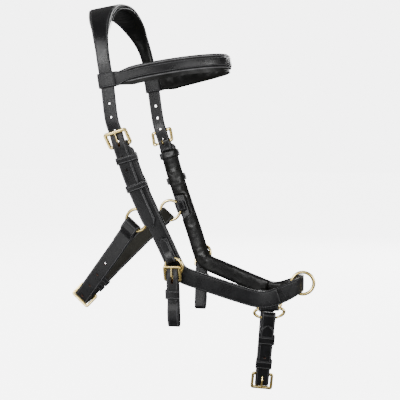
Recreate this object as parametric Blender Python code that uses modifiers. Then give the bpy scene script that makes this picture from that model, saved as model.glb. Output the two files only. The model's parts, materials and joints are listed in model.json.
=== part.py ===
"""A padded snaffle-less bridle for a cob-size horse, hung as it lies on the head.

The frame is the horse's: +X forward, +Y to the horse's left, +Z up, in metres. The origin is at the
poll, on the middle of the head under the headpiece. Every strap is a strip carried along a smooth
route over the head, and every buckle, ring and keeper is placed on such a route by its arc length,
so that it follows when a size changes.
"""

import math

import bmesh
import bpy
import numpy as np

MM = 0.001
RIGHT = -1.0
LEFT = 1.0
SIDES = (("right", RIGHT), ("left", LEFT))

# The head that the bridle is set for: half widths, and distances forward of and below the poll.
HALF_BROW = 99.9 * MM
HALF_BUCKLE = 98.5 * MM
HALF_BEND = 66.5 * MM
HALF_LOW_BEND = 44.5 * MM
CHEEK_BULGE = 4.0 * MM
CHEEK_SAG = 3.0 * MM
NOSE_BULGE = 1.5 * MM
CROWN_RISE = 4.0 * MM
BROW_LOOP_FORWARD = 26.9 * MM
BUCKLE_FORWARD = 48.4 * MM
BEND_FORWARD = 112.0 * MM
LOW_BEND_FORWARD = 213.5 * MM
NOSE_FORWARD = 266.0 * MM
FOREHEAD_FORWARD = 163.0 * MM
BROW_LOOP_DROP = 98.0 * MM
FOREHEAD_DROP = 71.0 * MM
BUCKLE_DROP = 179.0 * MM
BEND_DROP = 347.5 * MM
NOSE_FALL = 34.0 * MM
LOW_BEND_DROP = BEND_DROP + NOSE_FALL
NOSE_RISE = 18.0 * MM
NOSE_DROP = LOW_BEND_DROP - NOSE_RISE
CROWN_SQUARENESS = 2.5
NOSE_SQUARENESS = 2.15
NOSE_TURN_LEAD = 40.0 * MM
UPPER_SLOPE = 0.19
CROWN_TILT = 0.16
BEND_ROUNDING = 12.0 * MM

# Leather, padding and the room left between pieces.
GAP = 0.3 * MM
STRAP_THICKNESS = 2.6 * MM
BILLET_WIDTH = 18.0 * MM
CROWN_WIDTH = 49.0 * MM
CROWN_FLARE = 125.0 * MM
CROWN_TAPER = 1.5
CROWN_SET_BACK = 10.5 * MM
CHEEK_WIDTH = 22.0 * MM
NOSE_WIDTH = 22.0 * MM
LAP_BEFORE = 8.0 * MM
LAP_AFTER = 22.0 * MM
PAD_EDGE = 3.0 * MM
PAD_CROWN = 5.2 * MM
CROWN_PAD_CROWN = 7.0 * MM
CROWN_PAD_HALF_LENGTH = 150.0 * MM
PAD_OVERHANG = 0.5 * MM
PIPING_DIAMETER = 2.0 * MM
HOLE_DIAMETER = 4.0 * MM
RUNNER_TRAVEL = 5.0 * MM
TURN_BACK = 13.0 * MM

# Headpiece billets.
BILLET_SET_BACK = 5.0 * MM
BILLET_TAIL = 112.0 * MM
BILLET_HOLE_PITCH = 17.5 * MM
BILLET_TIP = 12.0 * MM

# Browband.
BROWBAND_WIDTH = 13.0 * MM
BROWBAND_PAD_ABOVE = 1.2 * MM
BROWBAND_PAD_BELOW = 4.4 * MM
BROWBAND_LEAN = 0.12
BROW_LOOP_LENGTH = 19.0 * MM
BROW_LOOP_THICKNESS = 1.8 * MM
BROW_LOOP_ROOM = 0.8 * MM

# Buckles: bar diameter, and the width and length between the middles of the bars.
CHEEK_BUCKLE_BAR = 2.8 * MM
CHEEK_BUCKLE_WIDTH = 26.4 * MM
CHEEK_BUCKLE_LENGTH = 18.2 * MM
CHEEK_BUCKLE_TILT = math.radians(20.0)
TONGUE_DIAMETER = 2.0 * MM

# Keepers on the cheek straps, by their middles below the buckle's heel bar.
KEEPER_LENGTH = 9.0 * MM
KEEPER_THICKNESS = 1.3 * MM
KEEPER_ROOM = 0.5 * MM
UPPER_KEEPER_BELOW = 19.0 * MM
LOWER_KEEPER_BELOW = 56.0 * MM

# Jaw rings in their tabs on the rear edges of the cheek straps, and the jaw strap between them.
JAW_RING_BELOW_BUCKLE = 97.0 * MM
JAW_RING_RADIUS = 14.2 * MM
JAW_RING_WIRE = 3.0 * MM
JAW_RING_BEHIND = 22.5 * MM
JAW_TAB_WIDTH = 14.0 * MM
JAW_TAB_THICKNESS = 1.2 * MM
JAW_TAB_TAIL = 6.5 * MM
JAW_TAB_ROOM = 0.9 * MM
JAW_STRAP_WIDTH = 21.0 * MM
JAW_STRAP_THICKNESS = 2.2 * MM
JAW_STRAP_DROP = 163.0 * MM
JAW_STRAP_BACK_ANGLE = math.radians(41.8)
JAW_LOOP_RETURN = 42.0 * MM
JAW_HOLE_PITCH = 24.5 * MM
JAW_TAIL = 52.0 * MM
JAW_BUCKLE_WIDTH = 25.0 * MM
JAW_KEEPER_ABOVE = 13.5 * MM
JAW_RUNNER_ABOVE = 24.0 * MM

# Bit rings in their chapes, and the hangers that hold a bit.
BIT_RING_DROP = 334.5 * MM
BIT_RING_RADIUS = 11.4 * MM
BIT_RING_WIRE = 2.9 * MM
BIT_RING_FLAP = math.radians(8.0)
BIT_CHAPE_FORWARD = 0.3 * MM
BIT_CHAPE_WIDTH = 13.0 * MM
BIT_CHAPE_THICKNESS = 1.6 * MM
BIT_CHAPE_LENGTH = 30.0 * MM
BIT_CHAPE_ROOM = 0.8 * MM
HANGER_WIDTH = 15.0 * MM
HANGER_THICKNESS = 2.0 * MM
HANGER_LENGTH = 79.0 * MM
HANGER_TOP = 1.2 * MM
HANGER_TAIL = 30.0 * MM
HANGER_BACK = 1.2 * MM
HANGER_KEEPER_BELOW = 18.0 * MM
HANGER_KEEPER_LENGTH = 12.0 * MM
BIT_BUCKLE_BAR = 2.4 * MM
BIT_BUCKLE_WIDTH = 18.6 * MM
BIT_BUCKLE_LENGTH = 18.0 * MM
BIT_BUCKLE_TILT = math.radians(15.0)

# Ring on the front of the noseband.
FRONT_RING_RADIUS = 14.6 * MM
FRONT_RING_WIRE = 3.1 * MM
FRONT_RING_TURN = math.radians(12.0)

# Chin dees under the low bends, and the chin strap between them.
CHIN_DEE_FORWARD = 0.5 * MM
CHIN_DEE_SKEW = 11.0 * MM
CHIN_DEE_SPREAD = 0.8
CHIN_CHAPE_WIDTH = 26.0 * MM
CHIN_CHAPE_THICKNESS = 1.4 * MM
CHIN_CHAPE_TAIL = 13.0 * MM
CHIN_CHAPE_SHOWS = 1.4 * MM
CHIN_DEE_WIDTH = 39.0 * MM
CHIN_DEE_DEPTH = 14.2 * MM
CHIN_DEE_WIRE = 3.0 * MM
CHIN_STRAP_WIDTH = 18.0 * MM
CHIN_STRAP_THICKNESS = 2.2 * MM
CHIN_STRAP_DROP = 113.0 * MM
CHIN_TAIL = 78.0 * MM
CHIN_STRAP_BACK_ANGLE = math.radians(5.0)
CHIN_KEEPER_LENGTH = 12.0 * MM
CHIN_BUCKLE_WIDTH = 24.0 * MM
CHIN_HOLE_PITCH = 16.5 * MM
CHIN_NEAR_RETURN = 16.0 * MM
CHIN_FAR_RETURN = 30.0 * MM
CHIN_KEEPER_ABOVE = 18.5 * MM
CHIN_RUNNER_ABOVE = 56.0 * MM

# The buckles at the bottom of the jaw strap and of the chin strap.
LOW_BUCKLE_BAR = 2.6 * MM
LOW_BUCKLE_LENGTH = 18.5 * MM
LOW_BUCKLE_TILT = math.radians(10.0)
LOW_TURN_RADIUS = 6.0 * MM
LOW_TURN_BACK = 8.0 * MM
LOW_TIP = 9.0 * MM
RETURN_TIP = 7.0 * MM

STRIP_STEP = 10.0 * MM
TURN_STEP = math.radians(19.0)
NOSE_STEP = 5.0 * MM
NOSE_TURN_STEP = math.radians(11.0)
HOLE_SIDES = 8

LEATHER = ("black_leather", (0.012, 0.012, 0.014, 1.0), 0.42, 0.0)
LINING = ("soft_lining", (0.022, 0.022, 0.021, 1.0), 0.62, 0.0)
BRASS = ("brass", (0.83, 0.66, 0.30, 1.0), 0.22, 1.0)
PIPING = ("white_piping", (0.72, 0.72, 0.70, 1.0), 0.45, 0.0)


def unit(vector):
    """Return the vector, or each row of an array, at length 1."""
    vector = np.asarray(vector, dtype=float)
    return vector / np.linalg.norm(vector, axis=-1, keepdims=True)


def eased(value):
    """Ease from 0 to 1 as the value goes from 0 to 1, level at both ends."""
    value = np.clip(value, 0.0, 1.0)
    return value * value * (3.0 - 2.0 * value)


class Frame:
    """A place on a strap: a point, and the directions along, across and out of the strap there."""

    def __init__(self, origin, along, across, out):
        self.origin = np.asarray(origin, dtype=float)
        self.along = np.asarray(along, dtype=float)
        self.across = np.asarray(across, dtype=float)
        self.out = np.asarray(out, dtype=float)

    def point(self, along=0.0, across=0.0, out=0.0):
        """Return the point at these distances from the frame's origin."""
        return self.origin + along * self.along + across * self.across + out * self.out

    def moved(self, along=0.0, across=0.0, out=0.0):
        """Return a parallel frame at these distances."""
        return Frame(self.point(along, across, out), self.along, self.across, self.out)

    def tipped(self, angle):
        """Return the frame turned about its across direction, its along side towards out."""
        along = self.along * math.cos(angle) + self.out * math.sin(angle)
        out = self.out * math.cos(angle) - self.along * math.sin(angle)
        return Frame(self.origin, along, self.across, out)

    def reversed(self):
        """Return the frame that looks back along the strap."""
        return Frame(self.origin, -self.along, self.across, self.out)


def smooth_line(rows, per_gap=10):
    """Sample a centripetal Catmull-Rom curve through the rows; the first three columns are its points."""
    rows = np.asarray(rows, dtype=float)
    padded = np.vstack([2.0 * rows[0] - rows[1], rows, 2.0 * rows[-1] - rows[-2]])
    gaps = np.linalg.norm(np.diff(padded[:, :3], axis=0), axis=1)
    knots = np.concatenate([[0.0], np.cumsum(gaps ** 0.5)])
    samples = []
    for i in range(1, len(padded) - 2):
        share = np.linspace(knots[i], knots[i + 1], per_gap, endpoint=False)[:, None]
        p = padded[i - 1:i + 3]
        k = knots[i - 1:i + 3]
        a = [((k[j + 1] - share) * p[j] + (share - k[j]) * p[j + 1]) / (k[j + 1] - k[j]) for j in range(3)]
        b = [((k[j + 2] - share) * a[j] + (share - k[j]) * a[j + 1]) / (k[j + 2] - k[j]) for j in range(2)]
        samples.append(((k[2] - share) * b[0] + (share - k[1]) * b[1]) / (k[2] - k[1]))
    samples.append(rows[-1:])
    return np.vstack(samples)


def rounded_corner(before, corner, after, reach, count=9):
    """Return a quadratic curve that cuts a corner off, from reach before it to reach after it."""
    start = corner + unit(before - corner) * reach
    end = corner + unit(after - corner) * reach
    share = np.linspace(0.0, 1.0, count)[:, None]
    return (1 - share) ** 2 * start + 2 * share * (1 - share) * corner + share ** 2 * end


def distinct(points):
    """Return which points lie clear of the point before them."""
    return np.concatenate([[True], np.linalg.norm(np.diff(points, axis=0), axis=1) > 0.02 * MM])


class Route:
    """A smooth line with frames that are read by arc length."""

    def __init__(self, points, outward, hand=1.0):
        points = np.asarray(points, dtype=float)
        outward = np.asarray(outward, dtype=float)
        keep = distinct(points)
        self.points = points[keep]
        steps = np.linalg.norm(np.diff(self.points, axis=0), axis=1)
        self.marks = np.concatenate([[0.0], np.cumsum(steps)])
        self.length = float(self.marks[-1])
        self.along = unit(np.gradient(self.points, self.marks, axis=0))
        outward = outward[keep]
        level = np.sum(outward * self.along, axis=1, keepdims=True)
        self.out = unit(outward - level * self.along)
        self.hand = hand
        self.across = np.cross(self.out, self.along) * hand

    def at(self, place):
        """Return the frame at this arc length; past an end the line runs on straight."""
        inside = min(max(place, 0.0), self.length)
        rows = (self.points, self.along, self.across, self.out)
        origin, along, across, out = (
            np.array([np.interp(inside, self.marks, row[:, i]) for i in range(3)]) for row in rows)
        along = unit(along)
        out = unit(out - np.dot(out, along) * along)
        across = unit(np.cross(out, along)) * self.hand
        return Frame(origin + (place - inside) * along, along, across, out)

    def place_of_drop(self, drop):
        """Return the first arc length at which the line has come down to this height."""
        return float(self.marks[np.argmax(self.points[:, 2] <= -drop)])

    def stations(self, start, stop, step=STRIP_STEP, turn=TURN_STEP):
        """Return arc lengths from start to stop, closer together where the line turns."""
        inner = (self.marks > start + 0.2 * MM) & (self.marks < stop - 0.2 * MM)
        chosen = [start]
        last = self.at(start).along
        for mark, along in zip(self.marks[inner], self.along[inner]):
            turn_made = math.acos(min(1.0, max(-1.0, float(np.dot(along, last)))))
            if turn_made > turn or mark - chosen[-1] > step:
                chosen.append(float(mark))
                last = along
        if stop - chosen[-1] < 0.4 * MM and len(chosen) > 1:
            chosen.pop()
        chosen.append(stop)
        return chosen


def laid(frame, path, hand=1.0):
    """Lay a flat path, given as rows of (along, out), in a frame; return its points and outward vectors.

    The outward vectors are those with which a route of this hand keeps the frame's across direction.
    """
    path = np.asarray(path, dtype=float)
    path = path[distinct(path)]
    points = frame.origin + path[:, :1] * frame.along + path[:, 1:2] * frame.out
    steps = unit(np.gradient(points, axis=0))
    return points, np.cross(steps, np.tile(frame.across, (len(points), 1))) * hand


def flat_route(frame, path):
    """Return the route of a flat path in a frame, with the frame's own across direction."""
    return Route(*laid(frame, path))


def wrapped_route(route, place, aside, path):
    """Return the route of a flat path that is bent along with a strap from a place on it."""
    path = np.asarray(path, dtype=float)
    path = path[distinct(path)]
    frames = [route.at(place + along) for along in path[:, 0]]
    points = np.array([frame.point(0.0, aside, out) for frame, out in zip(frames, path[:, 1])])
    across = np.array([frame.across for frame in frames])
    return Route(points, np.cross(unit(np.gradient(points, axis=0)), across))


def fold(bar, heading, side, wire, thickness, slack, turned_back, room=GAP):
    """Return the flat path of a strap's end that is folded round a bar.

    The path starts at the cut end of the turned-back layer, comes up to the bar on the side away from
    the strap, goes round it and ends beside the bar on the strap's own side. heading is the way the
    strap leaves the bar, side is where the strap itself lies, and slack is how far the fold stands
    off a curved wire.
    """
    bar = np.asarray(bar, dtype=float)
    heading = unit(heading)
    side = unit(side)
    radius = wire / 2 + room + thickness / 2
    near = radius - thickness - GAP
    reach = min(3.5 * radius, 0.75 * turned_back)
    share = np.linspace(0.0, 1.0, 9)[:, None]
    slope = bar + heading * (1.0 - share) * reach + side * (near - (radius + near) * eased(share))
    angle = np.linspace(0.0, math.pi, 13)[1:, None]
    turn = bar - heading * slack + radius * (np.cos(angle) * -side - np.sin(angle) * heading)
    cut_end = bar + heading * turned_back + side * near
    corner = bar - heading * slack - side * radius
    return np.vstack([[cut_end], slope, [corner], turn, [bar + side * radius]])


def strip_outline(stations, half, start_shape, end_shape):
    """Return the stations and half widths of a strip whose ends are square, round or pointed.

    A shape is None for a square end, or the length over which the end narrows and the power of its
    outline: 2 is round, 1 is pointed.
    """
    half = half if callable(half) else (lambda place, value=half: value)
    start, stop = stations[0], stations[-1]
    places = set(stations)
    shares = (0.0, 0.08, 0.3, 0.62, 1.0)
    for shape, end, sign in ((start_shape, start, 1.0), (end_shape, stop, -1.0)):
        if shape:
            places = {place for place in places if abs(place - end) > 1.15 * shape[0]}
            places |= {end + sign * shape[0] * share for share in shares}
    places = sorted(places | {start, stop})
    widths = []
    for place in places:
        width = half(place)
        for shape, end in ((start_shape, start), (end_shape, stop)):
            if shape and abs(place - end) < shape[0]:
                gone = 1.0 - abs(place - end) / shape[0]
                width *= max(0.22, (1.0 - gone ** shape[1]) ** (1.0 / shape[1]))
        widths.append(width)
    return places, widths


def clear_scene():
    """Remove every object, so that the script can be run again."""
    for item in list(bpy.data.objects):
        bpy.data.objects.remove(item, do_unlink=True)


def collection(name):
    """Return a collection of this name, linked to the scene."""
    found = bpy.data.collections.get(name) or bpy.data.collections.new(name)
    if found.name not in bpy.context.scene.collection.children:
        bpy.context.scene.collection.children.link(found)
    return found


def finish(recipe):
    """Return the material for a recipe of name, colour, roughness and metallic value."""
    name, colour, roughness, metallic = recipe
    found = bpy.data.materials.get(name)
    if found:
        return found
    made = bpy.data.materials.new(name)
    made.use_nodes = True
    shader = made.node_tree.nodes["Principled BSDF"]
    shader.inputs["Base Color"].default_value = colour
    shader.inputs["Roughness"].default_value = roughness
    shader.inputs["Metallic"].default_value = metallic
    return made


def add_part(name, mesh, recipe, origin):
    """Put a mesh in the bridle's collection, with its object's origin at the given point."""
    part = bpy.data.objects.new(name, mesh)
    collection("bridle").objects.link(part)
    mesh.materials.append(finish(recipe))
    offset = np.asarray(origin, dtype=float)
    flat = np.empty(len(mesh.vertices) * 3)
    mesh.vertices.foreach_get("co", flat)
    mesh.vertices.foreach_set("co", (flat.reshape(-1, 3) - offset).ravel())
    part.location = offset
    return part


def mesh_of(shape, name):
    """Turn a bmesh into a mesh whose faces point outwards."""
    shape.normal_update()
    bmesh.ops.recalc_face_normals(shape, faces=shape.faces)
    mesh = bpy.data.meshes.new(name)
    shape.to_mesh(mesh)
    shape.free()
    return mesh


def thicken(part, thickness):
    """Give an open surface its thickness, half on either side."""
    wall = part.modifiers.new("thickness", "SOLIDIFY")
    wall.thickness = thickness
    wall.offset = 0.0
    wall.use_even_offset = True


def strip(name, route, stations, half, thickness, origin=None, ends=(None, None), out=0.0, shift=None):
    """Make a strap: an open strip along a route, given its thickness by Solidify."""
    places, widths = strip_outline(stations, half, *ends)
    shape = bmesh.new()
    rows = []
    for place, width in zip(places, widths):
        frame = route.at(place)
        aside = shift(place) if shift else 0.0
        rows.append([shape.verts.new(frame.point(0.0, aside + sign * width, out)) for sign in (-1.0, 1.0)])
    for row, following in zip(rows, rows[1:]):
        shape.faces.new((row[0], row[1], following[1], following[0]))
    start = route.at(places[0]).origin if origin is None else origin
    part = add_part(name, mesh_of(shape, name), LEATHER, start)
    thicken(part, thickness)
    return part


def pad(name, route, stations, edges, crown, out, shift=None):
    """Make a lining: flat against the strap, crowned towards the head and drawn in at its edges."""
    edges = edges if callable(edges) else (lambda place, value=edges: value)
    first, last = stations[0], stations[-1]
    shape = bmesh.new()
    rows = []
    for place in stations:
        frame = route.at(place)
        nearness = min(place - first, last - place) / (3.0 * crown)
        full = PAD_EDGE + (crown - PAD_EDGE) * float(eased(0.2 + nearness))
        below, above = edges(place)
        middle = shift(place) if shift else 0.0
        outline = ((-below, 0.0), (above, 0.0), (above, PAD_EDGE), (0.55 * above, full), (-0.55 * below, full),
                   (-below, PAD_EDGE))
        rows.append([shape.verts.new(frame.point(0.0, middle + aside, out - depth)) for aside, depth in outline])
    count = len(rows[0])
    for row, following in zip(rows, rows[1:]):
        for i in range(count):
            shape.faces.new((row[i], row[(i + 1) % count], following[(i + 1) % count], following[i]))
    shape.faces.new(rows[0])
    shape.faces.new(rows[-1])
    return add_part(name, mesh_of(shape, name), LINING, route.at(first).origin)


def wire(name, points, thickness, recipe, closed=False, origin=None, resolution=1):
    """Make a wire or tube through the points."""
    start = np.asarray(points[0] if origin is None else origin, dtype=float)
    line = bpy.data.curves.new(name, "CURVE")
    line.dimensions = "3D"
    line.bevel_depth = thickness / 2
    line.bevel_resolution = resolution
    line.use_fill_caps = not closed
    line.materials.append(finish(recipe))
    spline = line.splines.new("POLY")
    spline.points.add(len(points) - 1)
    for point, place in zip(spline.points, points):
        point.co = (*(np.asarray(place) - start), 1.0)
    spline.use_cyclic_u = closed
    part = bpy.data.objects.new(name, line)
    part.location = start
    collection("bridle").objects.link(part)
    return part


def ring(name, frame, radius, thickness, origin=None):
    """Make a round ring in the plane of a frame's along and across directions."""
    angles = np.linspace(0.0, 2.0 * math.pi, 28, endpoint=False)
    points = [frame.point(radius * math.cos(a), radius * math.sin(a)) for a in angles]
    return wire(name, points, thickness, BRASS, True, frame.origin if origin is None else origin, 2)


def rounded_rectangle(width, height, radius, corner_points=4):
    """Return a closed rectangular path with round corners, as pairs of distances."""
    path = []
    for quarter, (x, y) in enumerate(((1, 1), (-1, 1), (-1, -1), (1, -1))):
        for angle in np.linspace(0.0, math.pi / 2, corner_points):
            turn = angle + quarter * math.pi / 2
            path.append((x * (width / 2 - radius) + radius * math.cos(turn),
                         y * (height / 2 - radius) + radius * math.sin(turn)))
    return path


def band(name, frame, width, height, length, thickness):
    """Make a keeper: a closed rectangular loop round a strap, open at both ends."""
    shape = bmesh.new()
    rows = []
    for x, y in rounded_rectangle(width + thickness, height + thickness, thickness, 3):
        rows.append([shape.verts.new(frame.point(end, x, y)) for end in (-length / 2, length / 2)])
    for row, following in zip(rows, rows[1:] + rows[:1]):
        shape.faces.new((row[0], row[1], following[1], following[0]))
    part = add_part(name, mesh_of(shape, name), LEATHER, frame.origin)
    thicken(part, thickness)
    return part


def cut(part, name, shape):
    """Take a shape out of a part."""
    tool = bpy.data.objects.new(part.name + name, mesh_of(shape, part.name + name))
    tool.hide_render = True
    tool.display_type = "WIRE"
    collection("cutters").objects.link(tool)
    step = part.modifiers.new(name, "BOOLEAN")
    step.operation = "DIFFERENCE"
    step.object = tool
    step.solver = "EXACT"


def cut_block(part, name, frame, sizes):
    """Take a box out of a part, centred on a frame and sized along, across and out."""
    shape = bmesh.new()
    bmesh.ops.create_cube(shape, size=1.0)
    for corner in shape.verts:
        x, y, z = corner.co
        corner.co = frame.point(x * sizes[0], y * sizes[1], z * sizes[2])
    cut(part, name, shape)


def punch(part, name, frames, depth, slot=0.0, diameter=HOLE_DIAMETER):
    """Punch holes at the given frames, each lengthened along the strap by the slot's length."""
    shape = bmesh.new()
    for frame in frames:
        made = bmesh.ops.create_cone(
            shape, cap_ends=True, segments=HOLE_SIDES, radius1=diameter / 2, radius2=diameter / 2, depth=depth)
        for corner in made["verts"]:
            x, y, z = corner.co
            stretch = math.copysign(slot / 2, x) if abs(x) > 0.05 * MM else 0.0
            corner.co = frame.point(x + stretch, y, z)
    cut(part, name, shape)


class Buckle:
    """A wire buckle on a strap's folded end: its frame, its tongue and where the billet runs.

    base is the strap's frame at the heel bar, its along direction pointing to the front bar. The
    strap lies over the heel bar, which is half the bar, the gap and half the leather below it. The
    tilt lifts the front bar clear of the billet.
    """

    def __init__(self, base, bar, width, length, tilt, thickness, billet_thickness):
        self.base = base
        self.bar = bar
        self.width = width
        self.length = length
        self.tilt = tilt
        self.thickness = thickness
        self.billet_thickness = billet_thickness
        self.below = bar / 2 + GAP + thickness / 2
        self.heel = base.moved(out=-self.below).tipped(tilt)
        self.over_heel = (thickness + billet_thickness) / 2 + GAP
        self.front_along = length * math.cos(tilt)
        self.front_out = length * math.sin(tilt) - self.below
        self.under_front = self.front_out - (bar + billet_thickness) / 2 - 2.0 * GAP
        self.eye = bar / 2 + GAP + TONGUE_DIAMETER / 2
        self.hole_along = 0.55 * self.eye + 1.9 * MM
        self.hole_slot = 4.2 * MM

    def turned_end(self, turned_back):
        """Return the flat path, in the base frame, from over the heel bar round it to the cut end."""
        path = fold((0.0, -self.below), (-1.0, 0.0), (0.0, 1.0), self.bar, self.thickness, 0.0, turned_back)
        return path[::-1]

    def make(self, name):
        """Make the frame and the tongue."""
        path = rounded_rectangle(self.width, self.length, 0.9 * self.bar, 3)
        points = [self.heel.point(self.length / 2 + y, x) for x, y in path]
        wire(name + "_frame", points, self.bar, BRASS, True, self.heel.origin)
        angles = np.radians(np.linspace(105.0, 360.0, 9))
        hook = [(self.eye * math.sin(a), self.eye * math.cos(a)) for a in angles]
        reach = self.hole_along + (self.hole_slot + TONGUE_DIAMETER + 4.0 * GAP) / 2 - 2.5 * GAP
        clear = self.over_heel + self.billet_thickness / 2 + 1.5 * GAP + TONGUE_DIAMETER / 2
        rise = [(reach, clear), (reach + 4.0 * MM, clear + GAP)]
        points = [self.heel.point(x, 0.0, y) for x, y in hook]
        points += [self.base.point(x, 0.0, y) for x, y in rise]
        points += [self.heel.point(self.length, 0.0, self.eye),
                   self.heel.point(self.length + TONGUE_DIAMETER, 0.0, self.eye - GAP)]
        wire(name + "_tongue", points, TONGUE_DIAMETER, BRASS, False, self.heel.origin)

    def slot(self, part):
        """Cut the slot for the tongue's eye through the strap's folded end."""
        reach = self.eye + TONGUE_DIAMETER / 2 + 2.0 * GAP
        sizes = (2.1 * reach, TONGUE_DIAMETER + 4.0 * GAP, 3.7 * reach)
        cut_block(part, "_tongue_slot", Frame(self.heel.origin, self.base.along, self.base.across, self.base.out),
                  sizes)


def arch_rows():
    """Return the headpiece's rows from the right browband loop up to the middle of the crown."""
    rows = []
    power = 2.0 / CROWN_SQUARENESS
    height = BROW_LOOP_DROP + CROWN_RISE
    for angle in np.radians((0.0, 6.0, 14.0, 24.0, 35.0, 46.0, 57.0, 67.0, 76.0, 84.0, 90.0)):
        y = HALF_BROW * max(math.cos(angle), 0.0) ** power
        rise = height * math.sin(angle) ** power
        x = BROW_LOOP_FORWARD - UPPER_SLOPE * rise
        side = (y / HALF_BROW) ** (CROWN_SQUARENESS - 1.0) / HALF_BROW
        top = (rise / height) ** (CROWN_SQUARENESS - 1.0) / height
        out = unit((0.0, -side, top))
        lean = -CROWN_TILT * out[2] ** 2
        rows.append((x, -y, rise - BROW_LOOP_DROP, lean, out[1], out[2]))
    return rows


def lower_rows(side):
    """Return the points of a cheek strap and its half of the noseband, from the buckle to the nose."""
    heel = np.array((BUCKLE_FORWARD, side * HALF_BUCKLE, -BUCKLE_DROP))
    bend = np.array((BEND_FORWARD, side * HALF_BEND, -BEND_DROP))
    low = np.array((LOW_BEND_FORWARD, side * HALF_LOW_BEND, -LOW_BEND_DROP))
    shares = np.array((0.0, 0.25, 0.5, 0.75, 1.0))[:, None]
    bulge = np.array((0.0, side, 0.0))
    cheek = heel + shares * (bend - heel) + 4.0 * shares * (1.0 - shares) * CHEEK_BULGE * bulge
    cheek[:, :1] -= 6.75 * shares * (1.0 - shares) ** 2 * CHEEK_SAG
    nose = bend + shares * (low - bend) + 4.0 * shares * (1.0 - shares) * NOSE_BULGE * bulge
    corner = rounded_corner(cheek[3], bend, nose[1], BEND_ROUNDING)
    front = []
    power = 2.0 / NOSE_SQUARENESS
    for angle in np.radians((79.0, 68.0, 57.0, 46.0, 35.0, 24.0, 12.0, 0.0)):
        x = LOW_BEND_FORWARD + (NOSE_FORWARD - LOW_BEND_FORWARD) * math.cos(angle) ** power
        y = side * HALF_LOW_BEND * math.sin(angle) ** power
        share = 1.0 - angle / (math.pi / 2)
        drop = LOW_BEND_DROP + (NOSE_DROP - LOW_BEND_DROP) * math.sin(share * math.pi / 2) ** 1.4
        front.append((x, y, -drop))
    return np.vstack([cheek[:4], corner[::2], nose[1:4], [low + (0.0, 0.0, 1.5 * MM)], front])


def nose_outward(points, side):
    """Return outward vectors: sideways along the cheek, and away from the nose's middle in front."""
    share = eased((points[:, 0] - LOW_BEND_FORWARD + NOSE_TURN_LEAD)
                  / (NOSE_FORWARD - LOW_BEND_FORWARD + NOSE_TURN_LEAD))
    steps = unit(np.gradient(points, axis=0))
    level = unit(np.column_stack([np.abs(steps[:, 1]), side * np.abs(steps[:, 0]), np.zeros(len(steps))]))
    sideways = np.tile((0.0, side, 0.0), (len(points), 1))
    return unit(sideways * (1.0 - share[:, None]) + level * share[:, None])


def lower_route(side):
    """Return the route of a cheek strap and its half of the noseband."""
    points = smooth_line(lower_rows(side))
    return Route(points, nose_outward(points, side), -side)


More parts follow.
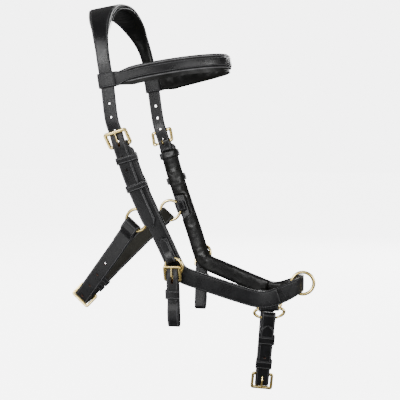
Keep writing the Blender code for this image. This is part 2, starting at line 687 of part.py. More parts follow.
class CheekSide:
    """One side of the bridle: where its buckle, rings and dee sit, and the pieces that carry them."""

    def __init__(self, word, side):
        self.word = word
        self.side = side
        self.route = lower_route(side)
        base = self.route.at(0.0).reversed().moved(across=-BILLET_SET_BACK)
        self.buckle = Buckle(base, CHEEK_BUCKLE_BAR, CHEEK_BUCKLE_WIDTH, CHEEK_BUCKLE_LENGTH, CHEEK_BUCKLE_TILT,
                             STRAP_THICKNESS, STRAP_THICKNESS)
        self.low_bend = float(self.route.marks[np.argmin(self.route.points[:, 2])])
        self.lap_start = self.low_bend - LAP_BEFORE
        self.lap_end = self.low_bend + LAP_AFTER
        self.lap = np.linspace(self.lap_start, self.lap_end, 8).tolist()
        self.place_jaw_ring()
        self.place_bit_ring()
        self.place_chin_dee()

    def place_jaw_ring(self):
        """Find the jaw ring's frame: its plane holds the jaw strap's across direction."""
        frame = self.route.at(JAW_RING_BELOW_BUCKLE)
        across = jaw_across()
        out = unit(frame.out - np.dot(frame.out, across) * across)
        along = np.cross(across, out)
        along = along * math.copysign(1.0, -along[2])
        forward = unit(frame.across - np.dot(frame.across, out) * out)
        depth = STRAP_THICKNESS / 2 + JAW_TAB_THICKNESS + JAW_RING_WIRE / 2 + 2.0 * JAW_TAB_ROOM
        front = frame.point(0.0, JAW_RING_RADIUS - JAW_RING_BEHIND, -depth)
        self.jaw_ring = Frame(front - JAW_RING_RADIUS * forward, along, across, out)
        flat_out = unit(out + frame.out)
        flat_forward = unit(forward - np.dot(forward, flat_out) * flat_out)
        self.jaw_tab = Frame(front, flat_forward, np.cross(flat_out, flat_forward), flat_out)
        self.jaw_tab_place = frame

    def place_bit_ring(self):
        """Find the bit ring's frame: it hangs from the chape on the cheek strap, a little outwards."""
        top_place = self.route.place_of_drop(BIT_RING_DROP) - BIT_RING_RADIUS
        frame = self.route.at(top_place)
        radius = BIT_RING_WIRE / 2 + BIT_CHAPE_ROOM + BIT_CHAPE_THICKNESS / 2
        lift = STRAP_THICKNESS / 2 + GAP + BIT_CHAPE_THICKNESS / 2 + radius
        self.chape_place = top_place
        self.chape_frame = frame.moved(across=BIT_CHAPE_FORWARD, out=lift)
        flapped = self.chape_frame.tipped(BIT_RING_FLAP)
        self.bit_ring = flapped.moved(along=BIT_RING_RADIUS)
        down = np.array((0.0, 0.0, -1.0))
        down = unit(down - np.dot(down, flapped.out) * flapped.out)
        across = unit(np.cross(flapped.out, down)) * -self.side
        self.hanger = Frame(self.bit_ring.origin, down, across, flapped.out).moved(across=-HANGER_BACK)

    def place_chin_dee(self):
        """Find the frame of the chin dee's straight bar, which hangs below the noseband."""
        skew = -self.side * CHIN_DEE_SKEW / 2
        frame = self.route.at(self.low_bend + CHIN_DEE_FORWARD + skew)
        along = unit(frame.along + unit(chin_across() * (1.0, 1.0, 0.0)))
        out = unit(frame.out - np.dot(frame.out, along) * along)
        across = unit(np.cross(along, out)) * self.side
        across = across * math.copysign(1.0, across[2])
        inset = 1.5 * STRAP_THICKNESS + 2.0 * GAP + CHIN_CHAPE_THICKNESS / 2
        place = self.low_bend + CHIN_DEE_FORWARD + skew
        ends = [self.route.at(place + sign * CHIN_CHAPE_WIDTH / 2).origin for sign in (-1.0, 1.0)]
        slant = max(0.0, *(float(np.dot(frame.origin - end, out)) for end in ends)) + 3.0 * GAP
        radius = CHIN_DEE_WIRE / 2 + GAP + CHIN_CHAPE_THICKNESS / 2
        drop = NOSE_WIDTH / 2 + CHIN_CHAPE_SHOWS + CHIN_DEE_WIRE / 2
        self.dee_bar = Frame(frame.point(0.0, -drop, -inset - slant - radius), along, across, out)


def jaw_across():
    """Return the jaw strap's across direction: forward and down, square to its slant."""
    return np.array((math.cos(JAW_STRAP_BACK_ANGLE), 0.0, -math.sin(JAW_STRAP_BACK_ANGLE)))


def chin_across():
    """Return the chin strap's across direction, square to the line through the two dees."""
    return unit((2.0 * HALF_LOW_BEND * CHIN_DEE_SPREAD, CHIN_DEE_SKEW, 0.0))


def make_headpiece(sides):
    """Make the headpiece with its billets, its pad and its pipings."""
    right = sides["right"]
    rows = []
    for place in np.linspace(BILLET_TAIL + 2.0 * MM, 0.0, 16):
        frame = right.route.at(place)
        point = frame.point(0.0, -BILLET_SET_BACK, right.buckle.over_heel)
        rows.append((*point, *frame.out))
    base = right.buckle.base
    for share, out in ((0.5, 0.55), (1.0, 0.0), (1.9, -0.05)):
        level = right.buckle.under_front + (right.buckle.over_heel - right.buckle.under_front) * out
        rows.append((*base.point(share * right.buckle.front_along, 0.0, level), *base.out))
    rows += arch_rows()
    rows = np.array(rows)
    rows[:, 3:] *= MM
    half = smooth_line(rows)
    other = half[::-1][1:] * (1.0, -1.0, 1.0, 1.0, -1.0, 1.0)
    line = np.vstack([half, other])
    route = Route(line[:, :3], line[:, 3:], -1.0)
    middle = route.length / 2

    def flare(place):
        share = np.hypot(place - middle, 0.06 * CROWN_FLARE) - 0.06 * CROWN_FLARE
        return float(np.clip(1.0 - share / CROWN_FLARE, 0.0, 1.0) ** CROWN_TAPER)

    def half_width(place):
        return BILLET_WIDTH / 2 + (CROWN_WIDTH - BILLET_WIDTH) / 2 * flare(place)

    def set_back(place):
        return -CROWN_SET_BACK * flare(place)

    tip = middle - route.length / 2 + 2.0 * MM
    stations = route.stations(tip, route.length - tip)
    if not any(abs(place - middle) < STRIP_STEP / 4 for place in stations):
        stations = sorted(stations + [middle])
    leather = strip("headpiece", route, stations, half_width, STRAP_THICKNESS, route.at(middle).origin,
                    ((BILLET_TIP, 2.0), (BILLET_TIP, 2.0)), shift=set_back)
    heel = tip + BILLET_TAIL
    tongue_hole = heel + right.buckle.hole_along
    pitches = [n * BILLET_HOLE_PITCH for n in (-2, -1, 1, 2, 3)]
    spare = [tongue_hole + pitch for pitch in pitches]
    frames = [route.at(place) for place in spare] + [route.at(route.length - place) for place in spare]
    punch(leather, "_spare_holes", frames, 4.0 * STRAP_THICKNESS)
    frames = [route.at(place) for place in (tongue_hole, route.length - tongue_hole)]
    punch(leather, "_tongue_holes", frames, 4.0 * STRAP_THICKNESS, right.buckle.hole_slot, TONGUE_DIAMETER + 4 * GAP)

    pad_stations = route.stations(middle - CROWN_PAD_HALF_LENGTH, middle + CROWN_PAD_HALF_LENGTH)
    level = -STRAP_THICKNESS / 2 - GAP
    margin = GAP + PIPING_DIAMETER
    pad("headpiece_pad", route, pad_stations, lambda place: (half_width(place) + margin, half_width(place) + margin),
        CROWN_PAD_CROWN, level, set_back)
    for word, sign in (("front", 1.0), ("rear", -1.0)):
        points = []
        for place in pad_stations:
            aside = set_back(place) + sign * (half_width(place) + GAP + PIPING_DIAMETER / 2)
            points.append(route.at(place).point(0.0, aside, level + GAP + PIPING_DIAMETER / 2))
        wire("headpiece_" + word + "_piping", points, PIPING_DIAMETER, PIPING)
    return route


def make_browband(route):
    """Make the browband, its pad and pipings, and the loops that hold it on the headpiece."""
    place = float(route.marks[np.argmin(np.abs(route.points[:len(route.points) // 2, 2] + BROW_LOOP_DROP))])
    inner_width = BILLET_WIDTH + 2.0 * BROW_LOOP_ROOM
    inner_height = STRAP_THICKNESS + 2.0 * BROW_LOOP_ROOM
    loop_frame = route.at(place)
    for word, where in (("right", place), ("left", route.length - place)):
        band(word + "_browband_loop", route.at(where), inner_width, inner_height, BROW_LOOP_LENGTH,
             BROW_LOOP_THICKNESS)
    reach = inner_width / 2 + BROW_LOOP_THICKNESS
    start = loop_frame.point(0.0, reach, 0.0)
    middle_x = BROW_LOOP_FORWARD
    points = [start, start + 6.0 * MM * unit((1.0, 0.0, UPPER_SLOPE))]
    outward = [(0.0, -1.0, 0.0), (0.0, -1.0, 0.0)]
    for degrees in (74.0, 62.0, 50.0, 38.0, 26.0, 13.0, 0.0):
        angle = math.radians(degrees)
        x = middle_x + (FOREHEAD_FORWARD - middle_x) * math.cos(angle)
        y = -HALF_BROW * math.sin(angle)
        drop = FOREHEAD_DROP + (BROW_LOOP_DROP - FOREHEAD_DROP) * (angle / (math.pi / 2)) ** 2.1
        points.append((x, y, -drop))
        plan = unit((math.cos(angle) / (FOREHEAD_FORWARD - middle_x), -math.sin(angle) / HALF_BROW, 0.0))
        outward.append((plan[0], plan[1], BROWBAND_LEAN * math.cos(angle)))
    rows = np.hstack([np.array(points), np.array(outward) * MM])
    half = smooth_line(rows)
    line = np.vstack([half, half[::-1][1:] * (1.0, -1.0, 1.0, 1.0, -1.0, 1.0)])
    brow = Route(line[:, :3], line[:, 3:], 1.0)
    ends = (GAP, brow.length - GAP)
    strip("browband", brow, brow.stations(*ends), BROWBAND_WIDTH / 2, STRAP_THICKNESS, brow.at(brow.length / 2).origin)
    level = -STRAP_THICKNESS / 2 - GAP
    margin = BROWBAND_WIDTH / 2 + 2.0 * GAP + PIPING_DIAMETER
    stations = brow.stations(ends[0] + 2.0 * GAP, ends[1] - 2.0 * GAP)
    pad("browband_pad", brow, stations, (margin + BROWBAND_PAD_BELOW, margin + BROWBAND_PAD_ABOVE), PAD_CROWN, level)
    for word, sign in (("upper", 1.0), ("lower", -1.0)):
        aside = sign * (BROWBAND_WIDTH / 2 + GAP + PIPING_DIAMETER / 2)
        points = [brow.at(where).point(0.0, aside, level + GAP + PIPING_DIAMETER / 2) for where in stations]
        wire("browband_" + word + "_piping", points, PIPING_DIAMETER, PIPING)


def make_cheek(cheek):
    """Make a cheek strap, its pad, buckle and keepers."""
    word, route, buckle = cheek.word, cheek.route, cheek.buckle
    top_front = CHEEK_BUCKLE_WIDTH / 2 - CHEEK_BUCKLE_BAR / 2 - 2.0 * KEEPER_ROOM - BILLET_SET_BACK
    top_half = (top_front + CHEEK_WIDTH / 2) / 2
    centre = buckle.base.moved(across=BILLET_SET_BACK)
    bent, bent_out = laid(centre, buckle.turned_end(TURN_BACK)[::-1], route.hand)
    body = route.marks > 1.0 * MM
    whole = Route(np.vstack([bent, route.points[body]]), np.vstack([bent_out, route.out[body]]), route.hand)
    fold_length = whole.length - route.length

    def half_width(place):
        share = float(eased((place - fold_length - buckle.below) / (6.0 * MM)))
        return top_half + (CHEEK_WIDTH / 2 - top_half) * share

    def aside(place):
        return half_width(place) - CHEEK_WIDTH / 2

    stations = whole.stations(0.0, fold_length + cheek.lap_start)
    stations += [fold_length + place for place in cheek.lap[1:]]
    for extra in (buckle.below, buckle.below + 6.0 * MM):
        stations.append(fold_length + extra)
    strap = strip(word + "_cheek_strap", whole, sorted(stations), half_width, STRAP_THICKNESS, shift=aside)
    buckle.slot(strap)
    buckle.make(word + "_cheek_buckle")

    level = -STRAP_THICKNESS / 2 - GAP
    half = CHEEK_WIDTH / 2 + PAD_OVERHANG
    start = TURN_BACK + 2.0 * GAP
    lining = pad(word + "_cheek_pad", route, route.stations(start, cheek.lap_start - GAP), (half, half), PAD_CROWN,
                 level)
    inner_width = CHEEK_WIDTH / 2 + BILLET_SET_BACK + BILLET_WIDTH / 2 + 2.0 * KEEPER_ROOM
    middle = -(BILLET_SET_BACK + BILLET_WIDTH / 2 - CHEEK_WIDTH / 2) / 2
    inner_height = buckle.over_heel + STRAP_THICKNESS + 2.0 * GAP
    for name, below, travel in (("_upper_keeper", UPPER_KEEPER_BELOW, 0.0),
                                ("_lower_keeper", LOWER_KEEPER_BELOW, RUNNER_TRAVEL)):
        frame = route.at(below).moved(across=middle, out=buckle.over_heel / 2)
        band(word + name, frame, inner_width, inner_height, KEEPER_LENGTH, KEEPER_THICKNESS)
        groove = KEEPER_THICKNESS + 2.0 * GAP
        sizes = (KEEPER_LENGTH + 2.0 * travel + 4.0 * GAP, 3.0 * CHEEK_WIDTH, 2.0 * groove)
        cut_block(lining, name + "_groove", route.at(below).moved(out=level), sizes)
    tab = cheek.jaw_tab_place
    inward = CHEEK_WIDTH / 2 + PAD_OVERHANG + 1.0 * MM
    reach = JAW_RING_BEHIND - JAW_RING_RADIUS - JAW_RING_WIRE / 2 - JAW_TAB_TAIL - 2.0 * MM
    sizes = (2.0 * (JAW_RING_RADIUS + 1.0 * MM), inward - reach, 6.0 * PAD_CROWN)
    cut_block(lining, "_ring_notch", tab.moved(across=-(inward + reach) / 2, out=level), sizes)


def make_jaw_ring(cheek):
    """Make a jaw ring and the tab that holds it under the cheek strap's rear edge."""
    ring(cheek.word + "_jaw_ring", cheek.jaw_ring, JAW_RING_RADIUS, JAW_RING_WIRE)
    slack = JAW_RING_RADIUS - math.sqrt(JAW_RING_RADIUS ** 2 - (JAW_TAB_WIDTH / 2) ** 2)
    path = fold((0.0, 0.0), (1.0, 0.0), (0.0, 1.0), JAW_RING_WIRE, JAW_TAB_THICKNESS, slack,
                JAW_RING_WIRE / 2 + JAW_TAB_TAIL, JAW_TAB_ROOM)
    radius = JAW_RING_WIRE / 2 + JAW_TAB_ROOM + JAW_TAB_THICKNESS / 2
    path = np.vstack([path, [(JAW_RING_WIRE / 2 + JAW_TAB_TAIL, radius)]])
    route = flat_route(cheek.jaw_tab, path)
    strip(cheek.word + "_jaw_ring_tab", route, route.stations(0.0, route.length), JAW_TAB_WIDTH / 2,
          JAW_TAB_THICKNESS, cheek.jaw_ring.origin)


def make_bit_ring(cheek):
    """Make the chape on the cheek strap, its ring, and the hanger with its buckle and keeper."""
    word = cheek.word
    slack = BIT_RING_RADIUS - math.sqrt(BIT_RING_RADIUS ** 2 - (BIT_CHAPE_WIDTH / 2) ** 2)
    lift = np.dot(cheek.chape_frame.origin - cheek.route.at(cheek.chape_place).origin, cheek.chape_frame.out)
    path = fold((0.0, lift), (-1.0, 0.0), (0.0, -1.0), BIT_RING_WIRE, BIT_CHAPE_THICKNESS, slack, BIT_CHAPE_LENGTH,
                BIT_CHAPE_ROOM)
    radius = BIT_RING_WIRE / 2 + BIT_CHAPE_ROOM + BIT_CHAPE_THICKNESS / 2
    inner = [(-along, lift - radius) for along in np.linspace(0.25, 0.9, 4) * BIT_CHAPE_LENGTH]
    route = wrapped_route(cheek.route, cheek.chape_place, BIT_CHAPE_FORWARD, np.vstack([path, inner]))
    strip(word + "_bit_ring_chape", route, route.stations(0.0, route.length), BIT_CHAPE_WIDTH / 2,
          BIT_CHAPE_THICKNESS, ends=((9.0 * MM, 1.4), None))
    ring(word + "_bit_ring", cheek.bit_ring, BIT_RING_RADIUS, BIT_RING_WIRE, cheek.chape_frame.origin)

    frame = cheek.hanger
    turn = BIT_RING_WIRE / 2 + GAP + HANGER_THICKNESS / 2
    fold_centre = -HANGER_TOP + HANGER_THICKNESS / 2 + turn
    bar_out = turn + HANGER_THICKNESS / 2 + GAP + BIT_BUCKLE_BAR / 2
    lift = BIT_BUCKLE_LENGTH * math.sin(BIT_BUCKLE_TILT) - BIT_BUCKLE_BAR / 2 - GAP - HANGER_THICKNESS / 2
    level = bar_out - lift
    heel = BIT_BUCKLE_LENGTH * math.cos(BIT_BUCKLE_TILT)
    base = Frame(frame.point(heel, 0.0, level), -frame.along, frame.across, frame.out)
    buckle = Buckle(base, BIT_BUCKLE_BAR, BIT_BUCKLE_WIDTH, BIT_BUCKLE_LENGTH, BIT_BUCKLE_TILT, HANGER_THICKNESS,
                    HANGER_THICKNESS)
    billet = level + buckle.over_heel
    back = level - 2.0 * buckle.below - HANGER_THICKNESS - 2.0 * GAP
    bottom = (level - back) / 2
    low = HANGER_LENGTH - bottom
    angle = np.linspace(0.0, math.pi, 11)
    over = [(fold_centre - turn * math.sin(a), turn * math.cos(a)) for a in angle]
    under = [(low + bottom * math.sin(a), (level + back) / 2 - bottom * math.cos(a)) for a in angle]
    down = [(heel + HANGER_TAIL, billet), (heel + 4.0 * MM, billet), (heel, billet), (heel * 0.7, billet * 0.93),
            (heel * 0.4, turn + (billet - turn) * 0.35)]
    inner = [(heel * 0.45, back * 0.8), (heel * 0.8, back), (heel + 8.0 * MM, back)]
    up = [(heel + TURN_BACK, level), (heel + 3.0 * MM, level)]
    rows = np.array([(x, y, 0.0) for x, y in down + over + inner + under + up])
    flowing = smooth_line(rows, 4)[:, :2]
    ending = buckle.turned_end(TURN_BACK - 3.0 * MM)
    ending = np.column_stack([heel - ending[:, 0], level + ending[:, 1]])
    path = np.vstack([flowing, ending])
    route = flat_route(frame, path)
    strap = strip(word + "_bit_hanger", route, route.stations(0.0, route.length), HANGER_WIDTH / 2, HANGER_THICKNESS,
                  frame.point(BIT_RING_RADIUS), ((RETURN_TIP, 2.0), None))
    buckle.slot(strap)
    hole = HANGER_TAIL + buckle.hole_along
    punch(strap, "_tongue_hole", [route.at(hole)], 3.0 * HANGER_THICKNESS, buckle.hole_slot,
          TONGUE_DIAMETER + 4 * GAP)
    buckle.make(word + "_bit_buckle")
    keeper = frame.moved(along=heel + HANGER_KEEPER_BELOW, out=(level + billet) / 2)
    band(word + "_bit_keeper", keeper, HANGER_WIDTH + 2.0 * KEEPER_ROOM,
         buckle.over_heel + HANGER_THICKNESS + 2.0 * GAP, HANGER_KEEPER_LENGTH, KEEPER_THICKNESS)


def make_noseband_front(sides):
    """Make the front of the noseband, its pad and the ring that hangs on it."""
    right, left = sides["right"], sides["left"]
    points = np.vstack([right.route.points, left.route.points[::-1][1:]])
    outward = np.vstack([right.route.out, left.route.out[::-1][1:]])
    route = Route(points, outward, 1.0)
    stations = right.lap + route.stations(right.lap_end, route.length - left.lap_end, NOSE_STEP, NOSE_TURN_STEP)[1:-1]
    stations += [route.length - place for place in left.lap[::-1]]
    level = -STRAP_THICKNESS - GAP
    strip("noseband_front", route, stations, NOSE_WIDTH / 2, STRAP_THICKNESS, route.at(route.length / 2).origin,
          out=level)
    level -= STRAP_THICKNESS / 2 + 1.5 * GAP
    lining = pad("noseband_front_pad", route, stations, (NOSE_WIDTH / 2, NOSE_WIDTH / 2), PAD_CROWN, level)
    for cheek in (right, left):
        low = NOSE_WIDTH / 2 + 2.0 * MM
        high = NOSE_WIDTH / 2 - CHIN_CHAPE_TAIL + 2.0 * MM
        bar = cheek.dee_bar
        depth = 6.0 * PAD_CROWN
        middle = NOSE_WIDTH / 2 + CHIN_CHAPE_SHOWS + CHIN_DEE_WIRE / 2 - (low + high) / 2
        cut_block(lining, "_" + cheek.word + "_chape_notch", bar.moved(across=middle),
                  (CHIN_CHAPE_WIDTH + 4.0 * MM, low - high, depth))
    frame = route.at(route.length / 2).moved(out=-STRAP_THICKNESS - GAP + 0.5 * MM)
    turn = FRONT_RING_TURN
    across = frame.across
    out = unit(frame.out * math.cos(turn) + frame.along * math.sin(turn))
    ring("front_ring", Frame(frame.origin, out, across, np.cross(out, across)), FRONT_RING_RADIUS, FRONT_RING_WIRE)


def make_chin_dee(cheek, heading):
    """Make a chin dee and its chape, and return the dee's lowest wire point."""
    bar = cheek.dee_bar
    half = CHIN_DEE_WIDTH / 2
    hanging = unit(heading - np.dot(heading, bar.along) * bar.along)
    straight = CHIN_CHAPE_WIDTH / 2 + CHIN_DEE_WIRE / 2
    shoulder = 0.3 * CHIN_DEE_DEPTH
    path = [(-straight, 0.0), (straight, 0.0), (0.6 * straight + 0.4 * half, 0.15 * shoulder)]
    for angle in np.radians(np.linspace(0.0, 180.0, 13)):
        path.append((half * math.cos(angle), shoulder + (CHIN_DEE_DEPTH - shoulder) * math.sin(angle)))
    path.append((-0.6 * straight - 0.4 * half, 0.15 * shoulder))
    points = [bar.origin + x * bar.along + depth * hanging for x, depth in path]
    wire(cheek.word + "_chin_dee", points, CHIN_DEE_WIRE, BRASS, True, bar.origin)
    frame = Frame(bar.origin, bar.across, bar.along, bar.out)
    tail = CHIN_CHAPE_TAIL
    path = fold((0.0, 0.0), (1.0, 0.0), (0.0, 1.0), CHIN_DEE_WIRE, CHIN_CHAPE_THICKNESS, 0.0, tail)
    radius = CHIN_DEE_WIRE / 2 + GAP + CHIN_CHAPE_THICKNESS / 2
    route = flat_route(frame, np.vstack([path, [(tail, radius)]]))
    strip(cheek.word + "_chin_dee_chape", route, route.stations(0.0, route.length), CHIN_CHAPE_WIDTH / 2,
          CHIN_CHAPE_THICKNESS, bar.origin)
    return bar.origin + CHIN_DEE_DEPTH * hanging


class HangingWire:
    """The lowest point of a ring or dee that a strap hangs from.

    rise is how far, and which way, a curved wire has risen at the strap's edges, and stray is how
    far a slanting one has left the strap's across direction there.
    """

    def __init__(self, point, rise, stray):
        self.point = point
        self.rise = rise
        self.stray = stray


class LowStrap:
    """A strap that hangs in a flat loop between two wires and is buckled at its lowest point.

    The plane's directions are wide, from the buckle's half to the other, down, and the strap's own
    across direction. Each half hangs from its wire in a folded end.
    """

    def __init__(self, name, wires, across, down, sizes):
        self.name = name
        self.near, self.far = wires
        self.across = across
        self.down = down
        wide = np.cross(across, down)
        self.wide = unit(wide * math.copysign(1.0, np.dot(wide, self.far.point - self.near.point)))
        self.origin = (self.near.point + self.far.point) / 2
        self.sizes = sizes

    def flat(self, point):
        """Return a point's place in the plane, wide and down from the middle."""
        offset = point - self.origin
        return np.array((np.dot(offset, self.wide), np.dot(offset, self.down)))

    def room(self, wire, heading):
        """Return the room a fold needs beside its wire, and how far it stands off along the strap."""
        room, slack = 3.0 * GAP, 2.0 * GAP
        for offset in (wire.rise, wire.stray):
            flat = (np.dot(offset, self.wide), np.dot(offset, self.down))
            room += abs(flat[0] * heading[1] - flat[1] * heading[0])
            slack += abs(float(np.dot(flat, heading)))
        return room, slack

    def make(self, buckle_side, other_side, outer_turn_back):
        """Make both halves, the buckle and its keepers."""
        size = self.sizes
        thickness = size["thickness"]
        near, far = self.flat(self.near.point), self.flat(self.far.point)
        side = -1.0 if outer_turn_back else 1.0
        heel_flat = np.array((-LOW_TURN_RADIUS * 1.1, size["drop"] - LOW_TURN_RADIUS * 2.9))
        heading = unit(heel_flat - near)
        room, slack = self.room(self.near, heading)
        radius = size["wire"] / 2 + room + thickness / 2
        normal = np.array((-heading[1], heading[0]))
        start = near + side * radius * normal
        heading = unit(heel_flat - start)
        normal = np.array((-heading[1], heading[0]))
        start = near + side * radius * normal

        out = normal[0] * self.wide + normal[1] * self.down
        along = heading[0] * self.wide + heading[1] * self.down
        heel_point = self.origin + heel_flat[0] * self.wide + heel_flat[1] * self.down
        base = Frame(heel_point, along, self.across, out)
        buckle = Buckle(base, LOW_BUCKLE_BAR, size["buckle_width"], LOW_BUCKLE_LENGTH, LOW_BUCKLE_TILT, thickness,
                        thickness)

        def seen(flat_point):
            offset = flat_point - heel_flat
            return np.array((np.dot(offset, heading), np.dot(offset, normal)))

        wire_place = seen(near)
        first = fold(wire_place, (1.0, 0.0), (0.0, side), size["wire"], thickness, slack,
                     size["near_return"], room)
        path = np.vstack([first, buckle.turned_end(LOW_TURN_BACK)])
        route = flat_route(base, path)
        strap = strip(self.name + "_" + buckle_side, route, route.stations(0.0, route.length), size["width"] / 2,
                      thickness, self.near.point, ((RETURN_TIP, 2.0), None))
        buckle.slot(strap)

        level = buckle.over_heel
        centre_out = level - LOW_TURN_RADIUS
        clear = LOW_TURN_RADIUS + thickness / 2 + GAP + LOW_BUCKLE_BAR / 2
        centre_along = buckle.front_along - math.sqrt(clear ** 2 - (buckle.front_out - centre_out) ** 2)
        centre = np.array((centre_along, centre_out))
        far_place = seen(far)
        far_heading = unit(centre - far_place)
        far_normal = np.array((far_heading[1], -far_heading[0]))
        far_normal = far_normal * math.copysign(1.0, np.dot(far_normal, (0.0, -1.0)))
        room, slack = self.room(self.far, unit(np.array((0.0, size["drop"])) - far))
        radius = size["wire"] / 2 + room + thickness / 2
        far_start = far_place + side * radius * far_normal
        to_far = far_start - centre
        bearing = math.atan2(to_far[0], to_far[1]) % (2.0 * math.pi)
        last = bearing - math.acos(LOW_TURN_RADIUS / np.linalg.norm(to_far))
        arc = [centre + LOW_TURN_RADIUS * np.array((math.sin(a), math.cos(a))) for a in np.linspace(last, 0.0, 14)]
        heading_down = unit(arc[0] - far_start)
        far_normal = np.array((heading_down[1], -heading_down[0]))
        far_normal = far_normal * math.copysign(1.0, np.dot(far_normal, (0.0, -1.0)))
        second = fold(far_place, heading_down, side * far_normal, size["wire"], thickness, slack,
                      size["far_return"], room)
        path = np.vstack([second, arc, [(0.0, level), (-size["tail"], level)]])
        other = flat_route(base, path)
        billet = strip(self.name + "_" + other_side, other, other.stations(0.0, other.length), size["width"] / 2,
                       thickness, self.far.point, ((RETURN_TIP, 2.0), (size["tip"], 1.5)))
        heel_place = other.length - size["tail"]
        tongue_hole = heel_place - buckle.hole_along
        punch(billet, "_tongue_hole", [other.at(tongue_hole)], 3.0 * thickness, buckle.hole_slot,
              TONGUE_DIAMETER + 4 * GAP)
        frames = [other.at(tongue_hole + n * size["pitch"]) for n in size["holes"]]
        punch(billet, "_spare_holes", frames, 3.0 * thickness)
        buckle.make(self.name.replace("_strap", "") + "_buckle")
        for word, above in size["keepers"]:
            frame = base.moved(along=-above, out=level / 2)
            band(self.name.replace("_strap", "") + word, frame, size["width"] + 2.0 * KEEPER_ROOM,
                 level + thickness + 2.0 * GAP, size["keeper_length"], KEEPER_THICKNESS)


def make_jaw_strap(sides):
    """Make the jaw strap, which hangs between the jaw rings and is buckled on the left."""
    across = jaw_across()
    down = np.array((-math.sin(JAW_STRAP_BACK_ANGLE), 0.0, -math.cos(JAW_STRAP_BACK_ANGLE)))
    wires = []
    bow = JAW_RING_RADIUS - math.sqrt(JAW_RING_RADIUS ** 2 - (JAW_STRAP_WIDTH / 2) ** 2)
    for word in ("left", "right"):
        frame = sides[word].jaw_ring
        wires.append(HangingWire(frame.point(JAW_RING_RADIUS), -bow * frame.along, 0.0 * across))
    sizes = {
        "thickness": JAW_STRAP_THICKNESS,
        "width": JAW_STRAP_WIDTH,
        "wire": JAW_RING_WIRE,
        "drop": JAW_STRAP_DROP - JAW_RING_RADIUS,
        "near_return": JAW_LOOP_RETURN,
        "far_return": JAW_LOOP_RETURN,
        "tail": JAW_TAIL,
        "tip": LOW_TIP,
        "pitch": JAW_HOLE_PITCH,
        "holes": (-4, -3, -2, -1, 1),
        "buckle_width": JAW_BUCKLE_WIDTH,
        "keepers": (("_keeper", JAW_KEEPER_ABOVE), ("_runner", JAW_RUNNER_ABOVE)),
        "keeper_length": KEEPER_LENGTH,
    }
    LowStrap("jaw_strap", wires, across, down, sizes).make("left", "right", True)


def make_chin_strap(sides):
    """Make the chin dees, and the chin strap that hangs between them, buckled on the right."""
    right, left = sides["right"], sides["left"]
    between = left.dee_bar.origin - right.dee_bar.origin
    middle = (left.dee_bar.origin + right.dee_bar.origin) / 2
    down = np.array((-math.sin(CHIN_STRAP_BACK_ANGLE), 0.0, -math.cos(CHIN_STRAP_BACK_ANGLE)))
    across = unit(np.cross(between, down))
    across = across * math.copysign(1.0, across[0])
    down = unit(np.cross(across, between))
    down = down * math.copysign(1.0, -down[2])
    lowest = middle + down * (CHIN_STRAP_DROP - LOW_TURN_RADIUS)
    half = CHIN_STRAP_WIDTH / 2
    bow = CHIN_DEE_DEPTH * (1.0 - math.sqrt(1.0 - (half / (CHIN_DEE_WIDTH / 2)) ** 2))
    wires = []
    for cheek in (right, left):
        heading = unit(lowest - cheek.dee_bar.origin)
        stray = half * (cheek.dee_bar.along - np.dot(cheek.dee_bar.along, across) * across)
        wires.append(HangingWire(make_chin_dee(cheek, heading), -bow * heading, stray))
    sizes = {
        "thickness": CHIN_STRAP_THICKNESS,
        "width": CHIN_STRAP_WIDTH,
        "wire": CHIN_DEE_WIRE,
        "drop": CHIN_STRAP_DROP - CHIN_DEE_DEPTH,
        "near_return": CHIN_NEAR_RETURN,
        "far_return": CHIN_FAR_RETURN,
        "tail": CHIN_TAIL,
        "tip": LOW_TIP,
        "pitch": CHIN_HOLE_PITCH,
        "holes": (1, 2, -2, -3),
        "buckle_width": CHIN_BUCKLE_WIDTH,
        "keepers": (("_keeper", CHIN_KEEPER_ABOVE), ("_runner", CHIN_RUNNER_ABOVE)),
        "keeper_length": CHIN_KEEPER_LENGTH,
    }
    LowStrap("chin_strap", wires, across, down, sizes).make("right", "left", False)


def main():
    """Build the bridle."""
    clear_scene()
    sides = {word: CheekSide(word, side) for word, side in SIDES}
    make_browband(make_headpiece(sides))
    for cheek in sides.values():
        make_cheek(cheek)
        make_jaw_ring(cheek)
        make_bit_ring(cheek)
    make_noseband_front(sides)
    make_jaw_strap(sides)
    make_chin_strap(sides)


main()
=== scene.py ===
"""A padded black leather bridle with pale brass fittings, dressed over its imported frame.

The frame is the horse's: +X forward, +Y to the horse's left, +Z up, with the origin at the poll. Straps
are carried along routes, which are smooth lines with directions along, across and out of the strap.
"""

import json
import logging
import math
from dataclasses import dataclass, field
from enum import Enum
from typing import Callable, Optional, Sequence, Union

import bpy
import numpy as np
from mathutils import Matrix, Vector

